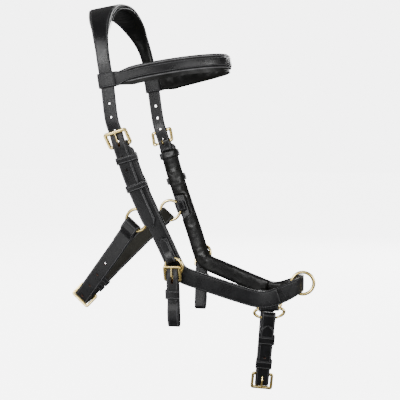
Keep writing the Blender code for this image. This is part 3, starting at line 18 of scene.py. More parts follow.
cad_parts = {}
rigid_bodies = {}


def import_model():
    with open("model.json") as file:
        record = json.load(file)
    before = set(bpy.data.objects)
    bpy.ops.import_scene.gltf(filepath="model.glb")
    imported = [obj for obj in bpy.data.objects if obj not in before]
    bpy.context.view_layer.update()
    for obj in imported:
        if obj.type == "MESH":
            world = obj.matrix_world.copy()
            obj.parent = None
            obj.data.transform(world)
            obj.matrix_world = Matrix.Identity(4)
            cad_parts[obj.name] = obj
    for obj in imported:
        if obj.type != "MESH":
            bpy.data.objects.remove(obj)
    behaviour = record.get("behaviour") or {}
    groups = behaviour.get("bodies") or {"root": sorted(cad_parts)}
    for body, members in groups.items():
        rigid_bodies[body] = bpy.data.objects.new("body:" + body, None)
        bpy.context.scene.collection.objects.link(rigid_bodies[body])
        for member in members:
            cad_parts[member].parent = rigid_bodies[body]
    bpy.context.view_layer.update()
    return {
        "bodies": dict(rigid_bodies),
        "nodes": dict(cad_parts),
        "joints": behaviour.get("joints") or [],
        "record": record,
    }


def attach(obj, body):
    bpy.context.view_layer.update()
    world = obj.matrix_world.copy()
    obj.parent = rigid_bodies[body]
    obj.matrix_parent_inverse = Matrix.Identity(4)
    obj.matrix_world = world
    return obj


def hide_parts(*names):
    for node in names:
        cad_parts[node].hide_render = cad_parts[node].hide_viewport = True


MM = 0.001
GAP = 0.3 * MM
SMOOTH_ANGLE = math.radians(42.0)
WHITE = (1.0, 1.0, 1.0, 1.0)
Array = np.ndarray
Width = Union[float, Callable[[Array], Array]]
Socket = bpy.types.NodeSocket
log = logging.getLogger("bridle")


class Side(Enum):
    """The horse's two sides; the value is the sign of y."""

    RIGHT = -1.0
    LEFT = 1.0

    @property
    def word(self) -> str:
        """The side's name as the pieces carry it."""
        return self.name.lower()


class Tip(Enum):
    """How a strap's end is cut; the value is the power of its outline, and 0 is a square cut."""

    SQUARE = 0.0
    POINTED = 1.35
    SPADE = 1.7
    ROUND = 2.0


def unit(vectors: Array) -> Array:
    """Return the vector, or each row of an array, at length 1."""
    vectors = np.asarray(vectors, dtype=float)
    return vectors / np.linalg.norm(vectors, axis=-1, keepdims=True)


def square(vectors: Array, others: Array) -> Array:
    """Return vectors made square to others of length 1, at length 1."""
    return unit(vectors - np.sum(vectors * others, axis=-1, keepdims=True) * others)


def facing(vector: Array, axis: int, sign: float) -> Array:
    """Return the vector or its opposite, whichever has this sign along an axis."""
    return vector * math.copysign(1.0, sign * vector[axis])


def quarter_turned(flat: Array) -> Array:
    """Return a flat direction turned by a quarter, from its first axis to its second."""
    return np.array((-flat[1], flat[0]))


def slanting_down(angle: float) -> Array:
    """Return the direction down and back, at an angle to plumb."""
    return np.array((-math.sin(angle), 0.0, -math.cos(angle)))


def arc_lengths(points: Array) -> Array:
    """Return how far along a line each of its points lies."""
    return np.concatenate([[0.0], np.cumsum(np.linalg.norm(np.diff(points, axis=0), axis=1))])


def read_rows(places: Array, marks: Array, rows: Array) -> Array:
    """Return rows that are known at the marks, read at other places between them."""
    return np.column_stack([np.interp(places, marks, column) for column in rows.T])


def eased(value: Union[float, Array]) -> Array:
    """Ease from 0 to 1 as the value goes from 0 to 1: 3v^2 - 2v^3, level at both ends."""
    value = np.clip(value, 0.0, 1.0)
    return value * value * (3.0 - 2.0 * value)


def as_width(width: Width) -> Callable[[Array], Array]:
    """Return a width that may be one number as a function of the places along a strap."""
    return width if callable(width) else (lambda places: np.full(np.shape(places), float(width)))


@dataclass(frozen=True)
class Frame:
    """A place on a strap, or rows of places: points, and the directions along, across and out there."""

    origin: Array
    along: Array
    across: Array
    out: Array

    def point(self, along: float = 0.0, across: float = 0.0, out: float = 0.0) -> Array:
        """Return the point at these distances from the origin."""
        return self.origin + along * self.along + across * self.across + out * self.out

    def moved(self, along: float = 0.0, across: float = 0.0, out: float = 0.0) -> "Frame":
        """Return a parallel frame at these distances."""
        return Frame(self.point(along, across, out), self.along, self.across, self.out)

    def tipped(self, angle: float) -> "Frame":
        """Return the frame turned about its across direction, its along side towards out."""
        along = self.along * math.cos(angle) + self.out * math.sin(angle)
        out = self.out * math.cos(angle) - self.along * math.sin(angle)
        return Frame(self.origin, along, self.across, out)

    def reversed(self) -> "Frame":
        """Return the frame that looks back along the strap."""
        return Frame(self.origin, -self.along, self.across, self.out)

    def laid(self, path: Array) -> Array:
        """Return the points of a flat path, given as rows of (along, out)."""
        return self.origin + path[:, :1] * self.along + path[:, 1:2] * self.out

    def grid(self, across: Array, out: Array) -> Array:
        """Return a grid of points, at these distances across and out from each row of the frame."""
        return (self.origin[:, None, :] + across[..., None] * self.across[:, None, :]
                + out[..., None] * self.out[:, None, :])


def smooth_line(rows: Sequence, per_gap: int = 14) -> Array:
    """Return a centripetal Catmull-Rom curve through the rows, whose first three columns are points.

    Each gap is a blend of blends between neighbouring rows, with knots a square root of a gap apart.
    """
    rows = np.asarray(rows, dtype=float)
    padded = np.vstack([2.0 * rows[0] - rows[1], rows, 2.0 * rows[-1] - rows[-2]])
    gaps = np.linalg.norm(np.diff(padded[:, :3], axis=0), axis=1)
    knots = np.concatenate([[0.0], np.cumsum(gaps ** 0.5)])
    samples = []
    for i in range(1, len(padded) - 2):
        share = np.linspace(knots[i], knots[i + 1], per_gap, endpoint=False)[:, None]
        p, k = padded[i - 1:i + 3], knots[i - 1:i + 3]
        a = [((k[j + 1] - share) * p[j] + (share - k[j]) * p[j + 1]) / (k[j + 1] - k[j]) for j in range(3)]
        b = [((k[j + 2] - share) * a[j] + (share - k[j]) * a[j + 1]) / (k[j + 2] - k[j]) for j in range(2)]
        samples.append(((k[2] - share) * b[0] + (share - k[1]) * b[1]) / (k[2] - k[1]))
    samples.append(rows[-1:])
    return np.vstack(samples)


def rounded_corner(before: Array, corner: Array, after: Array, reach: float) -> Array:
    """Return a parabola that cuts a corner off, from reach before it to reach after it."""
    start = corner + unit(before - corner) * reach
    end = corner + unit(after - corner) * reach
    share = np.linspace(0.0, 1.0, 5)[:, None]
    return (1 - share) ** 2 * start + 2 * share * (1 - share) * corner + share ** 2 * end


def distinct(points: Array) -> Array:
    """Return which points lie clear of the point before them."""
    return np.concatenate([[True], np.linalg.norm(np.diff(points, axis=0), axis=1) > 0.02 * MM])


class Route:
    """A smooth line with frames that are read by arc length."""

    def __init__(self, points: Array, outward: Array, hand: float = 1.0) -> None:
        """Keep the line's points, and square the outward vectors to it.

        Args:
            points: the line's points.
            outward: a vector out of the strap at each point.
            hand: 1 or -1, the side to which across points, as cross(out, along) times hand.
        """
        points, outward = np.asarray(points, dtype=float), np.asarray(outward, dtype=float)
        keep = distinct(points)
        self.points, outward = points[keep], outward[keep]
        self.marks = arc_lengths(self.points)
        self.length = float(self.marks[-1])
        self.along = unit(np.gradient(self.points, self.marks, axis=0))
        self.out = square(outward, self.along)
        self.hand = hand
        self.across = np.cross(self.out, self.along) * hand

    def read(self, places: Array) -> Frame:
        """Return the frames at these arc lengths, as rows; past an end the line runs on straight."""
        places = np.atleast_1d(np.asarray(places, dtype=float))
        inside = np.clip(places, 0.0, self.length)
        origin, along, out = (read_rows(inside, self.marks, rows)
                              for rows in (self.points, self.along, self.out))
        along = unit(along)
        out = square(out, along)
        across = unit(np.cross(out, along)) * self.hand
        return Frame(origin + (places - inside)[:, None] * along, along, across, out)

    def at(self, place: float) -> Frame:
        """Return the frame at one arc length."""
        rows = self.read(place)
        return Frame(rows.origin[0], rows.along[0], rows.across[0], rows.out[0])

    def place_of_drop(self, drop: float) -> float:
        """Return the first arc length at which the line has come down to this height."""
        return float(self.marks[np.argmax(self.points[:, 2] <= -drop)])

    def stations(self, start: float, stop: float, step: float = 3.0 * MM, turn: float = 7.0) -> Array:
        """Return arc lengths from start to stop, closer together where the line turns.

        A station stands wherever length/step + turning/turn passes a whole number; turn is in degrees.
        """
        fine = np.linspace(start, stop, max(int((stop - start) / (0.25 * MM)), 8))
        along = self.read(fine).along
        bend = np.arccos(np.clip(np.sum(along[1:] * along[:-1], axis=1), -1.0, 1.0))
        count = np.concatenate([[0.0], np.cumsum(np.diff(fine) / step + np.degrees(bend) / turn)])
        return np.interp(np.linspace(0.0, count[-1], max(int(math.ceil(count[-1])), 2) + 1), count, fine)


def flat_route(frame: Frame, path: Array, hand: float = 1.0) -> Route:
    """Return the route of a flat path of (along, out) rows in a frame, keeping the frame's across."""
    path = np.asarray(path, dtype=float)
    path = path[distinct(path)]
    points = frame.laid(path)
    steps = unit(np.gradient(points, axis=0))
    return Route(points, np.cross(steps, np.tile(frame.across, (len(points), 1))) * hand, hand)


def wrapped_route(route: Route, place: float, aside: float, path: Array) -> Route:
    """Return the route of a flat path that is bent along with a strap.

    Args:
        route: the strap's own route.
        place: where the path's distances along start.
        aside: how far across from the strap's middle it lies.
        path: its (along, out) rows.
    """
    path = np.asarray(path, dtype=float)
    path = path[distinct(path)]
    rows = route.read(place + path[:, 0])
    points = rows.point(0.0, aside, path[:, 1:2])
    return Route(points, np.cross(unit(np.gradient(points, axis=0)), rows.across))


def mirrored_route(rows: Array, hand: float) -> Route:
    """Return the smooth route of the right half's points and outward vectors and their mirror images."""
    half = smooth_line(rows)
    line = np.vstack([half, half[::-1][1:] * (1.0, -1.0, 1.0, 1.0, -1.0, 1.0)])
    return Route(line[:, :3], line[:, 3:], hand)


def fold_radius(wire: float, thickness: float, room: float = GAP) -> float:
    """Return the radius at which the middle of what is folded round a wire goes round it."""
    return wire / 2 + room + thickness / 2


def bow(radius: float, width: float) -> float:
    """Return how far a round wire bows away over a strap's width: r - (r^2 - (w/2)^2)^(1/2)."""
    return radius - math.sqrt(radius ** 2 - (width / 2) ** 2)


def tab_route(frame: Frame, wire: float, thickness: float, slack: float, tail: float,
              room: float = GAP) -> Route:
    """Return the route of a tab folded round a wire at a frame's origin, with two layers as long.

    Args:
        frame: the wire's place; the tab leaves along it.
        wire: the wire's diameter.
        thickness: the leather's thickness.
        slack: how far the fold stands off a curved wire.
        tail: how far the layers reach from the wire's middle.
        room: the room between wire and leather.
    """
    path = fold((0.0, 0.0), (1.0, 0.0), (0.0, 1.0), wire, thickness, slack, tail, room)
    return flat_route(frame, np.vstack([path, [(tail, fold_radius(wire, thickness, room))]]))


def fold(bar: Sequence, heading: Sequence, side: Sequence, wire: float, thickness: float, slack: float,
         turned_back: float, room: float = GAP) -> Array:
    """Return the flat path of a strap's end that is folded round a bar.

    It runs from the cut end of the turned-back layer, up to the bar, round half a circle and to the
    strap's own side.

    Args:
        bar: the bar's place.
        heading: the way the strap leaves the bar.
        side: where the strap itself lies.
        wire: the bar's diameter.
        thickness: the leather's thickness.
        slack: how far the fold stands off a curved bar.
        turned_back: the length of the turned-back layer.
        room: the room between bar and leather.
    """
    bar, heading, side = np.asarray(bar, dtype=float), unit(heading), unit(side)
    radius = fold_radius(wire, thickness, room)
    near = radius - thickness - GAP
    reach = min(3.5 * radius, 0.75 * turned_back)
    share = np.linspace(0.0, 1.0, 19)[:, None]
    slope = bar + heading * (1.0 - share) * reach + side * (near - (radius + near) * eased(share))
    angle = np.linspace(0.0, math.pi, 31)[1:, None]
    turn = bar - heading * slack + radius * (np.cos(angle) * -side - np.sin(angle) * heading)
    cut_end = bar + heading * turned_back + side * near
    corner = bar - heading * slack - side * radius
    return np.vstack([[cut_end], slope, [corner], turn, [bar + side * radius]])


def rounded_rectangle(width: float, height: float, radius: float, corner_points: int = 6) -> Array:
    """Return a closed rectangle with round corners as rows of two distances, anticlockwise."""
    quarter = np.repeat(np.arange(4), corner_points)
    angle = np.tile(np.linspace(0.0, math.pi / 2, corner_points), 4) + quarter * math.pi / 2
    sign_x = np.array([1.0, -1.0, -1.0, 1.0])[quarter]
    sign_y = np.array([1.0, 1.0, -1.0, -1.0])[quarter]
    return np.column_stack([sign_x * (width / 2 - radius) + radius * np.cos(angle),
                            sign_y * (height / 2 - radius) + radius * np.sin(angle)])


def placed(name: str, data: object) -> bpy.types.Object:
    """Return a new object of this data in the scene."""
    made = bpy.data.objects.new(name, data)
    bpy.context.scene.collection.objects.link(made)
    return made


@dataclass
class Shell:
    """A closed surface before it becomes an object: points, faces and values kept for each point."""

    points: Array
    faces: list
    values: dict = field(default_factory=dict)

    def outward(self) -> "Shell":
        """Return the shell with its faces turned outwards, by the sign of its volume."""
        volume = 0.0
        for size in sorted({len(face) for face in self.faces}):
            corners = self.points[np.array([face for face in self.faces if len(face) == size])]
            for i in range(1, size - 1):
                volume += float(np.sum(corners[:, 0] * np.cross(corners[:, i], corners[:, i + 1])))
        if volume < 0.0:
            self.faces = [face[::-1] for face in self.faces]
        return self

    def joined(self, other: "Shell") -> "Shell":
        """Return one shell that holds both."""
        count = len(self.points)
        values = {name: np.concatenate([kept, other.values.get(name, np.zeros(len(other.points)))])
                  for name, kept in self.values.items()}
        faces = self.faces + [[i + count for i in face] for face in other.faces]
        return Shell(np.vstack([self.points, other.points]), faces, values)

    def made(self, name: str) -> bpy.types.Object:
        """Return the shell as an object at the origin, smooth except at sharp edges."""
        mesh = bpy.data.meshes.new(name)
        mesh.from_pydata(self.points.tolist(), [], self.faces)
        for label, kept in self.values.items():
            mesh.attributes.new(label, "FLOAT", "POINT").data.foreach_set("value", kept.astype(np.float32))
        mesh.polygons.foreach_set("use_smooth", np.ones(len(mesh.polygons), dtype=bool))
        mesh.set_sharp_from_angle(angle=SMOOTH_ANGLE)
        mesh.update()
        return placed(name, mesh)


def grid_faces(rows: int, columns: int, ring: bool) -> list:
    """Return a grid's four-sided faces, closed round its columns, and round its rows if it is a ring."""
    i = np.arange(rows if ring else rows - 1)[:, None]
    j = np.arange(columns)[None, :]
    following, beside = (i + 1) % rows, (j + 1) % columns
    faces = np.stack([i * columns + j, i * columns + beside, following * columns + beside,
                      following * columns + j], axis=-1)
    return faces.reshape(-1, 4).tolist()


def grid_shell(grid: Array, values: dict, ring: bool = False) -> Shell:
    """Return the shell over a grid of points, whose rows are closed profiles.

    Args:
        grid: points by row, then round the profile.
        values: numbers for each point, by name, in the grid's shape.
        ring: whether the last row joins the first; otherwise both ends are capped.
    """
    rows, columns = grid.shape[:2]
    faces = grid_faces(rows, columns, ring)
    if not ring:
        faces.append(list(range(columns))[::-1])
        faces.append(list(range((rows - 1) * columns, rows * columns)))
    kept = {name: np.broadcast_to(value, grid.shape[:2]).ravel() for name, value in values.items()}
    return Shell(grid.reshape(-1, 3), faces, kept).outward()


def wire_shell(points: Array, normal: Array, in_plane: float, through: float, sides: int = 14,
               closed: bool = True, squareness: float = 2.0, taper: Optional[Array] = None) -> Shell:
    """Return a wire carried along a path: a superellipse |x/a|^n + |y/b|^n = 1 square to the path.

    Args:
        points: the path.
        normal: one direction square to the path, or one for each point.
        in_plane: the wire's thickness in the path's plane.
        through: its thickness along the normal.
        sides: the number of points round it.
        closed: whether the path is a ring.
        squareness: the superellipse's power n; 2 is round.
        taper: the share of the thickness at each point.
    """
    points = np.asarray(points, dtype=float)
    if closed:
        along = unit(np.roll(points, -1, axis=0) - np.roll(points, 1, axis=0))
    else:
        along = unit(np.gradient(points, axis=0))
    normal = square(np.broadcast_to(normal, points.shape), along)
    aside = np.cross(along, normal)
    angle = np.linspace(0.0, 2.0 * math.pi, sides, endpoint=False)
    x = np.sign(np.cos(angle)) * np.abs(np.cos(angle)) ** (2.0 / squareness) * in_plane / 2
    y = np.sign(np.sin(angle)) * np.abs(np.sin(angle)) ** (2.0 / squareness) * through / 2
    share = np.ones(len(points)) if taper is None else taper
    offset = x[None, :, None] * aside[:, None, :] + y[None, :, None] * normal[:, None, :]
    return grid_shell(points[:, None, :] + share[:, None, None] * offset, {}, closed)


def bead_shell(points: Array, normal: Array, thickness: float, share: Array, sides: int = 10) -> Shell:
    """Return a round bead, such as a piping, along a path, at a share of its thickness at each point."""
    return wire_shell(points, normal, thickness, thickness, sides, False, 2.0, share)


@dataclass(frozen=True)
class StrapCut:
    """How a strap is cut: its width, thickness, ends and how far its face is domed."""

    half: Width
    thickness: float
    start: Tip = Tip.SQUARE
    start_length: float = 8.0 * MM
    end: Tip = Tip.SQUARE
    end_length: float = 8.0 * MM
    dome: float = 0.12 * MM

    def half_at(self, places: Array, first: float, last: float) -> Array:
        """Return the half width at each place: the width times (1 - g^p)^(1/p) within a tip's length."""
        wide = np.array(as_width(self.half)(places), dtype=float)
        for tip, length, near in ((self.start, self.start_length, places - first),
                                  (self.end, self.end_length, last - places)):
            if tip is not Tip.SQUARE:
                gone = np.clip(1.0 - near / length, 0.0, 1.0)
                wide = wide * np.maximum((1.0 - gone ** tip.value) ** (1.0 / tip.value), 0.1)
        return wide

    def half_on(self, route: Route) -> Callable[[Array], Array]:
        """Return the half width as a function of the places on a route that the strap fills."""
        return lambda places: self.half_at(places, 0.0, route.length)

    def places(self, stations: Array) -> Array:
        """Return the stations with more of them where a tip is cut and where the ends are rounded."""
        first, last = stations[0], stations[-1]
        share = 1.0 - np.cos(np.linspace(0.0, math.pi / 2, 9))
        extra = [first + self.thickness * np.array([0.1, 0.25, 0.45]),
                 last - self.thickness * np.array([0.1, 0.25, 0.45])]
        if self.start is not Tip.SQUARE:
            extra.append(first + self.start_length * share)
        if self.end is not Tip.SQUARE:
            extra.append(last - self.end_length * share)
        together = np.unique(np.round(np.concatenate([stations, *extra]), 6))
        return together[(together >= first) & (together <= last)]


def strap_shell(route: Route, stations: Array, cut: StrapCut, out: Width = 0.0,
                shift: Width = 0.0) -> Shell:
    """Return a strap carried along a route.

    Its profile has flat faces and edges rounded as a superellipse of power 2.6; its outer face is
    domed by dome * (1 - (a/w)^2), and the ends' thickness falls as a quarter circle. The values kept
    are run, the place along the strap, edge, the distance in from its nearer edge, and grain, 1 on the
    outer face and 0 on the flesh side.

    Args:
        route: the line that it follows.
        stations: the places of its rows.
        cut: how it is cut.
        out: how far its middle lies outside the route.
        shift: how far its middle lies across the route.
    """
    places = cut.places(np.asarray(stations, dtype=float))
    rows = route.read(places)
    half = cut.half_at(places, places[0], places[-1])
    rounding = 0.45 * cut.thickness
    near_end = np.clip(np.minimum(places - places[0], places[-1] - places) / rounding, 0.0, 1.0)
    thin = 0.35 + 0.65 * np.sqrt(1.0 - (1.0 - near_end) ** 2)
    corner = np.minimum(0.55 * cut.thickness, 0.6 * half)[:, None]
    angle = np.linspace(-math.pi / 2, math.pi / 2, 9)
    power = 2.0 / 2.6
    edge_x = np.abs(np.cos(angle)) ** power
    edge_y = np.sign(np.sin(angle)) * np.abs(np.sin(angle)) ** power
    flat = np.linspace(-1.0, 1.0, 9)[1:-1]
    wide = half[:, None] - corner
    across = np.hstack([wide + corner * edge_x, wide * -flat, -wide - corner * edge_x[::-1], wide * flat])
    up = np.concatenate([edge_y, np.ones(7), edge_y[::-1], -np.ones(7)])[None, :]
    dome = cut.dome * (1.0 - np.clip(np.abs(across) / half[:, None], 0.0, 1.0) ** 2) * (up > 0.99)
    depth = up * cut.thickness / 2 * thin[:, None] + dome
    grid = rows.grid(across + as_width(shift)(places)[:, None], depth + as_width(out)(places)[:, None])
    values = {"run": places[:, None] + 0.0 * across, "edge": half[:, None] - np.abs(across),
              "grain": (up > -0.6) + 0.0 * across}
    return grid_shell(grid, values)


def pad_shell(route: Route, stations: Array, below: Width, above: Width, crown: Width, level: Width,
              shift: Width = 0.0, edge: float = 3.0 * MM, ripple: float = 0.17 * MM) -> Shell:
    """Return a stuffed lining that is flat against its strap and crowned towards the head.

    Across it, s runs from -1 to 1, and its depth is edge * (1 - s^8)^(1/2) + (crown - edge) *
    (1 - s^2)^(3/4), drawn in near its ends. Ripples across it are a sum of three sines of its run.

    Args:
        route: the line that it follows.
        stations: the places of its rows.
        below: how far it reaches across on the low side.
        above: how far it reaches on the high side.
        crown: its full depth.
        level: the depth at which it lies against the strap, negative.
        shift: how far it lies across the route.
        edge: its depth near its edges.
        ripple: the height of its wrinkles.
    """
    places = np.asarray(stations, dtype=float)
    ends = np.array([0.05, 0.2, 0.5, 1.0, 1.8, 3.0]) * MM
    places = np.unique(np.round(np.concatenate([places, places[0] + ends, places[-1] - ends]), 6))
    rows = route.read(places)
    low, high = as_width(below)(places), as_width(above)(places)
    full = as_width(crown)(places)
    from_end = np.minimum(places - places[0], places[-1] - places)
    drawn = np.sqrt(1.0 - (1.0 - np.clip(from_end / (1.6 * edge), 0.0, 1.0)) ** 2) * 0.94 + 0.06
    full = full * (0.75 + 0.25 * eased(from_end / (3.0 * full)))
    s = np.sin(np.linspace(-math.pi / 2, math.pi / 2, 19))
    inner = np.linspace(1.0, -1.0, 7)[1:-1]
    around = np.concatenate([s, inner])[None, :]
    crowned = np.concatenate([np.ones(19), np.zeros(5)])[None, :]
    middle, wide = (high - low) / 2, (high + low) / 2
    across = middle[:, None] + wide[:, None] * around + as_width(shift)(places)[:, None]
    depth = crowned * (edge * np.sqrt(1.0 - around ** 8)
                       + (full[:, None] - edge) * (1.0 - around ** 2) ** 0.75)
    run = places[:, None] / MM
    waves = (np.sin(run * 0.28 + 4.0 * around) + 0.7 * np.sin(run * 0.43 - 3.1 * around + 1.0)
             + 0.4 * np.sin(run * 0.87 + 4.9 * around ** 2))
    depth = (depth + ripple * waves * (1.0 - around ** 2) * crowned) * drawn[:, None]
    grid = rows.grid(across, as_width(level)(places)[:, None] - depth)
    values = {"run": places[:, None] + 0.0 * around, "edge": wide[:, None] * (1.0 - np.abs(around)),
              "grain": crowned + 0.0 * run}
    return grid_shell(grid, values)


def keeper_shell(frame: Frame, width: float, height: float, length: float, thickness: float) -> Shell:
    """Return a keeper: a closed band round a strap, of a flat profile with rounded edges.

    The profile is carried round a rectangle with round corners that lies across the strap.

    Args:
        frame: its middle, on the strap.
        width: its inner width.
        height: its inner height.
        length: how far it reaches along the strap.
        thickness: the leather's thickness.
    """
    path = rounded_rectangle(width + thickness, height + thickness, 0.9 * thickness, 7)
    centre = frame.origin + path[:, :1] * frame.across + path[:, 1:] * frame.out
    ahead = unit(np.roll(centre, -1, axis=0) - np.roll(centre, 1, axis=0))
    aside = np.cross(ahead, frame.along)
    angle = np.linspace(-math.pi / 2, math.pi / 2, 7)
    x = np.concatenate([np.cos(angle) ** 0.8, -np.cos(angle[::-1]) ** 0.8])
    y = np.concatenate([np.sin(angle), np.sin(angle[::-1])])
    corner = 0.5 * thickness
    lengthways = np.sign(x) * (length / 2 - corner) + x * corner
    spread = np.linspace(-1.0, 1.0, 7)[1:-1] * (length / 2 - corner)
    lengthways = np.concatenate([lengthways[:7], -spread, lengthways[7:], spread])
    sideways = np.concatenate([y[:7], np.ones(5), y[7:], -np.ones(5)]) * thickness / 2
    grid = (centre[:, None, :] + lengthways[None, :, None] * frame.along
            + sideways[None, :, None] * aside[:, None, :])
    values = {"run": (np.arange(len(centre)) * MM)[:, None] + 0.0 * lengthways,
              "edge": length / 2 - np.abs(lengthways)[None, :], "grain": np.ones((1, len(lengthways)))}
    return grid_shell(grid, values, ring=True)


def stitch_shell(rows: Frame, length: float, thickness: float) -> Shell:
    """Return a row of stitches: at each frame a short spindle along it, sunk by half its thickness."""
    along = np.array([-0.5, -0.42, -0.2, 0.2, 0.42, 0.5])[:, None, None] * length
    swell = np.array([0.25, 0.75, 1.0, 1.0, 0.75, 0.25])[:, None] * thickness / 2
    angle = np.linspace(0.0, 2.0 * math.pi, 6, endpoint=False)
    across, out = ((swell * turn)[..., None] for turn in (np.cos(angle), np.sin(angle)))
    origin, ahead, aside, up = (kept[:, None, None, :]
                                for kept in (rows.origin, rows.along, rows.across, rows.out))
    grid = origin + along * ahead + across * aside + out * up
    single = grid_shell(grid[0], {})
    count = len(single.points)
    faces = [[i + n * count for i in face] for n in range(len(grid)) for face in single.faces]
    return Shell(grid.reshape(-1, 3), faces)


def punched(piece: bpy.types.Object, frames: Sequence[Frame], depth: float, slot: float, diameter: float,
            lining: bpy.types.Material) -> None:
    """Punch holes through a strap: round prisms, each lengthened by the slot, taken out of its mesh.

    Args:
        piece: the strap's object.
        frames: where the holes are, along the strap and out of it.
        depth: the prisms' length.
        slot: how much longer than wide a hole is.
        diameter: the holes' width.
        lining: the finish of the cut leather inside them.
    """
    angle = np.linspace(0.0, 2.0 * math.pi, 20, endpoint=False)
    x = diameter / 2 * np.cos(angle) + np.where(np.cos(angle) > 0.0, slot / 2, -slot / 2)
    y = diameter / 2 * np.sin(angle)
    shell = None
    for frame in frames:
        ends = np.array([-depth / 2, depth / 2])[:, None, None]
        grid = (frame.origin + x[None, :, None] * frame.along + y[None, :, None] * frame.across
                + ends * frame.out)
        prism = grid_shell(grid, {})
        shell = prism if shell is None else shell.joined(prism)
    tool = shell.made(piece.name + "_punch")
    tool.data.materials.append(lining)
    step = piece.modifiers.new("punch", "BOOLEAN")
    step.operation, step.object, step.solver, step.material_mode = "DIFFERENCE", tool, "EXACT", "TRANSFER"
    graph = bpy.context.evaluated_depsgraph_get()
    cut = bpy.data.meshes.new_from_object(piece.evaluated_get(graph))
    piece.modifiers.remove(step)
    cut.set_sharp_from_angle(angle=SMOOTH_ANGLE)
    piece.data = cut
    bpy.data.objects.remove(tool, do_unlink=True)


class Graph:
    """A node tree with short calls for adding and joining nodes."""

    def __init__(self, tree: bpy.types.NodeTree) -> None:
        """Wrap a tree."""
        self.tree = tree

    def add(self, kind: str, values: Optional[dict] = None, **settings: object) -> bpy.types.Node:
        """Add a node.

        Args:
            kind: the node's type without its ShaderNode prefix, or a full type name.
            values: what goes into its inputs by name or number: a socket is linked, a value is set.
            settings: properties of the node.

        Returns:
            The node.
        """
        node = self.tree.nodes.new(kind if kind.startswith("Node") else "ShaderNode" + kind)
        for label, setting in settings.items():
            setattr(node, label, setting)
        self.fill(node, values or {})
        return node

    def fill(self, node: bpy.types.Node, values: dict) -> None:
        """Link sockets to a node's inputs, or set them, by name or number."""
        for key, value in values.items():
            if isinstance(value, Socket):
                self.tree.links.new(value, node.inputs[key])
            else:
                node.inputs[key].default_value = value

    def pattern(self, group: bpy.types.NodeTree, scale: float) -> object:
        """Return the outputs of a shared pattern at a scale on the piece's own coordinates."""
        place = self.add("TexCoord").outputs["Object"]
        return self.add("Group", {"Vector": place, "Scale": scale}, node_tree=group).outputs

    def sum(self, kind: str, *values: object) -> Socket:
        """Return the result of a Math node of this kind on sockets or numbers."""
        return self.add("Math", dict(enumerate(values)), operation=kind).outputs[0]

    def ramp(self, value: Socket, low: float, high: float, to_low: float = 0.0, to_high: float = 1.0) -> Socket:
        """Return a value carried from one range to another, smoothly and held at its ends."""
        made = self.add("MapRange", {0: value, 1: low, 2: high, 3: to_low, 4: to_high},
                        interpolation_type="SMOOTHSTEP")
        return made.outputs[0]

    def mixed(self, share: Socket, first: object, second: object) -> Socket:
        """Return a colour mixed between two."""
        return self.add("Mix", {0: share, 6: first, 7: second}, data_type="RGBA").outputs[2]

    def bumped(self, height: Socket) -> Socket:
        """Return the normal over a height in metres."""
        return self.add("Bump", {"Height": height, "Distance": 1.0, "Strength": 1.0}).outputs["Normal"]


def effect(name: str, inputs: dict, outputs: Sequence[str],
           build: Callable[[Graph, dict], dict]) -> bpy.types.NodeTree:
    """Return a shared shader node group, built on its first use.

    Args:
        name: the group's name.
        inputs: the group's inputs by name, each with its value, or None for a vector.
        outputs: the names of its outputs, all single values.
        build: makes the nodes from the inputs' sockets and returns the outputs' sockets.
    """
    found = bpy.data.node_groups.get(name)
    if found:
        return found
    tree = bpy.data.node_groups.new(name, "ShaderNodeTree")
    for label, value in inputs.items():
        kind = "NodeSocketVector" if value is None else "NodeSocketFloat"
        socket = tree.interface.new_socket(label, in_out="INPUT", socket_type=kind)
        if value is not None:
            socket.default_value = value
    for label in outputs:
        tree.interface.new_socket(label, in_out="OUTPUT", socket_type="NodeSocketFloat")
    graph = Graph(tree)
    entry = graph.add("NodeGroupInput")
    made = build(graph, {label: entry.outputs[label] for label in inputs})
    graph.add("NodeGroupOutput", {label: made[label] for label in outputs})
    return tree


def hide_grain() -> bpy.types.NodeTree:
    """Return the grain of a hide: fine cells with broad, faint clouds.

    Height is the distance to the cells' edges; Shade is the clouds, from 0 to 1.
    """

    def build(graph: Graph, given: dict) -> dict:
        """Build cells, and clouds at a thirtieth of their scale."""
        cells = graph.add("TexVoronoi", {"Vector": given["Vector"], "Scale": given["Scale"]},
                          feature="DISTANCE_TO_EDGE")
        broad = graph.sum("DIVIDE", given["Scale"], 30.0)
        clouds = graph.add("TexNoise", {"Vector": given["Vector"], "Scale": broad, "Detail": 4.0})
        return {"Height": graph.ramp(cells.outputs["Distance"], 0.0, 0.25),
                "Shade": graph.ramp(clouds.outputs["Fac"], 0.3, 0.7)}

    return effect("hide_grain", {"Vector": None, "Scale": 1400.0}, ("Height", "Shade"), build)


def edge_crease() -> bpy.types.NodeTree:
    """Return what lies along a strap's edges: a creased line, and the roll where the face turns down.

    Line is 1 on the crease; Roll is (1 - edge / reach)^2, 1 at the very edge.
    """

    def build(graph: Graph, given: dict) -> dict:
        """Fall from 1 to 0 over a width on either side of the inset, and from the edge inwards."""
        off = graph.sum("ABSOLUTE", graph.sum("SUBTRACT", given["Edge"], given["Inset"]))
        share = graph.sum("DIVIDE", off, given["Width"])
        roll = graph.ramp(graph.sum("DIVIDE", given["Edge"], given["Reach"]), 1.0, 0.0)
        return {"Line": graph.ramp(share, 1.0, 0.0), "Roll": graph.sum("MULTIPLY", roll, roll)}

    return effect("edge_crease", {"Edge": 0.0, "Inset": 1.7 * MM, "Width": 0.55 * MM, "Reach": 1.5 * MM},
                  ("Line", "Roll"), build)


